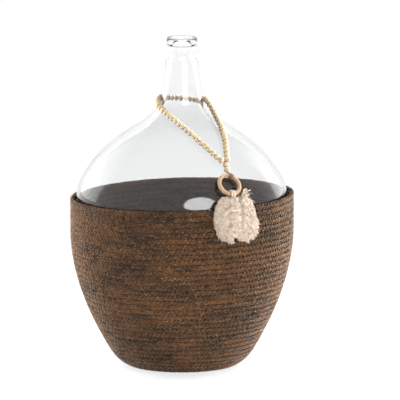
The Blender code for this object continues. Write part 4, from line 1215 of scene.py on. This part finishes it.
# Stage
class VASE_OT_stage(bpy.types.Operator):
    """Floor, soft studio light and the camera at the photograph's angle"""
    bl_idname = "vase.stage"
    bl_label = "Stage"

    def execute(self, context):
        settings = context.scene.vase.stage
        self.build_floor(settings)
        self.build_world(context.scene, settings)
        self.add_lamp("lamp_left", *LAMP_LEFT, settings.side_lamp)
        self.add_lamp("lamp_right", *LAMP_RIGHT, settings.side_lamp * RIGHT_SHARE)
        self.add_lamp("lamp_front", *LAMP_FRONT, settings.front_lamp)
        self.add_camera(context.scene)
        context.scene.view_settings.view_transform = "Standard"
        return {"FINISHED"}

    def add_camera(self, scene):
        camera = bpy.data.cameras.new("photo_camera")
        camera.sensor_width = SENSOR_WIDTH
        camera.lens = SENSOR_WIDTH * CAMERA_DISTANCE / FRAME_WIDTH
        camera.clip_end = 100.0
        holder = put_in_scene("photo_camera", camera)
        rise = math.radians(PHOTO_ELEVATION)
        away = Vector((0.0, -math.cos(rise), math.sin(rise))) * CAMERA_DISTANCE
        holder.location = Vector((AIM_RIGHT, 0.0, AIM_HEIGHT)) + away
        holder.rotation_euler = (math.pi / 2 - rise, 0.0, 0.0)
        scene.camera = holder

    def build_floor(self, settings):
        """Pale floor: white to the camera, and a little darker in front in reflections."""
        mesh = bpy.data.meshes.new("studio_floor")
        corners = [(x * FLOOR_REACH, y * FLOOR_REACH, 0)
                   for x, y in ((-1, -1), (1, -1), (1, 1), (-1, 1))]
        mesh.from_pydata(corners, [], [(0, 1, 2, 3)])
        floor = put_in_scene("studio_floor", mesh)
        f = new_finish("studio_floor")
        place = f.object_place()
        far = f.node("VectorMath", {"operation": "LENGTH"}, {0: place}, output="Value")
        colour = f.blend(settings.floor, tone(244, 244, 243), f.noise(place, 260.0, 2.0), 0.3, 0.7)
        card = f.node("BsdfDiffuse", None, {"Color": colour})
        camera, glossy, transmitted = f.rays()
        shade = f.between(f.parts(place)[1], -0.1, 0.4, 1.0, 0.0) * (1.0 - camera)
        white = f.node("Emission", None, {"Color": f.mix(shade, WHITE, (0.85, 0.85, 0.85)),
                                          "Strength": 1.0})
        seen = f.between(camera + glossy + transmitted, 0.0, 1.0)
        shown = f.node("MixShader", None, {0: seen * f.between(far, 0.3, 1.6, 0.72, 1.0),
                                           1: card, 2: white})
        f.node("OutputMaterial", None, {"Surface": shown})
        mesh.materials.append(f.owner)

    def build_world(self, scene, settings):
        """White to the camera; a room with side lamps and a softbox in reflections; soft light."""
        world = bpy.data.worlds.new("studio")
        scene.world = world
        f = Finish(world)
        direction = f.node("TexCoord", output="Generated")
        across, away, rise = f.parts(direction)
        behind = f.between(away, 0.22, 0.50)
        rear = away / (across * across + away * away + 0.0001) ** 0.5
        inner = f.between(across, -0.05, 0.05, 0.27, 0.56)
        glow = (f.between(rear - inner, 0.0, 0.07) * f.between(rear, 0.80, 0.94, 1.0, 0.0)
                * f.between(rise, 0.35, 0.70, 1.0, 0.0) * settings.side_glow)
        camera, glossy, transmitted = f.rays()
        through = f.between(glossy + transmitted, 0.0, 1.0)
        near = f.node("VectorMath", {"operation": "DOT_PRODUCT"},
                      {0: direction, 1: SOFTBOX_DIRECTION}, output="Value")
        softbox = f.between(near, 0.945, 0.957) * glossy * settings.softbox
        seen = settings.room + behind * (1.0 - settings.room) + glow + softbox
        lit = (behind * 0.5 + 0.6) * settings.ambient
        strength = camera + (1.0 - camera) * (through * seen + (1.0 - through) * lit)
        background = f.node("Background", None, {"Color": WHITE, "Strength": strength})
        f.node("OutputWorld", None, {"Surface": background})

    def add_lamp(self, name, azimuth, distance, height, wide, high, power):
        """Soft lamp that faces the object; the one in front is round."""
        lamp = bpy.data.lights.new(name, "AREA")
        lamp.shape = "RECTANGLE" if azimuth > 90.0 else "ELLIPSE"
        lamp.size = wide
        lamp.size_y = high
        lamp.energy = power
        holder = put_in_scene(name, lamp)
        turn = math.radians(azimuth)
        place = Vector((distance * math.sin(turn), -abs(distance) * math.cos(turn), height))
        holder.location = place
        holder.rotation_euler = (LAMP_AIM - place).to_track_quat("-Z", "Y").to_euler()
        holder.visible_glossy = holder.visible_transmission = False


PIECES = (VASE_OT_basket, VASE_OT_bottle, VASE_OT_garland, VASE_OT_ring, VASE_OT_tassel,
          VASE_OT_stage)


class VASE_PT_panel(bpy.types.Panel):
    """Buttons and settings of the vase"""
    bl_idname = "VASE_PT_panel"
    bl_label = "Glass Bottle in a Basket"
    bl_space_type = "VIEW_3D"
    bl_region_type = "UI"
    bl_category = "Vase"

    def draw(self, context):
        for piece in PIECES:
            box = self.layout.box()
            box.operator(piece.bl_idname)
            group = getattr(context.scene.vase, piece.bl_idname.split(".")[1])
            for name in group.__annotations__:
                box.prop(group, name)


CLASSES = (BasketSettings, BottleSettings, GarlandSettings, RingSettings, TasselSettings,
           StageSettings, VaseSettings, *PIECES, VASE_PT_panel)


def register():
    for item in CLASSES:
        bpy.utils.register_class(item)
    bpy.types.Scene.vase = PointerProperty(type=VaseSettings, name="Vase",
                                           description="The vase's settings")


def unregister():
    del bpy.types.Scene.vase
    for item in reversed(CLASSES):
        bpy.utils.unregister_class(item)


def main():
    register()
    bpy.ops.vase.stage()
    bpy.ops.vase.basket()
    bpy.ops.vase.bottle()
    bpy.ops.vase.garland()
    bpy.ops.vase.ring()
    bpy.ops.vase.tassel()


if __name__ == "__main__":
    main()
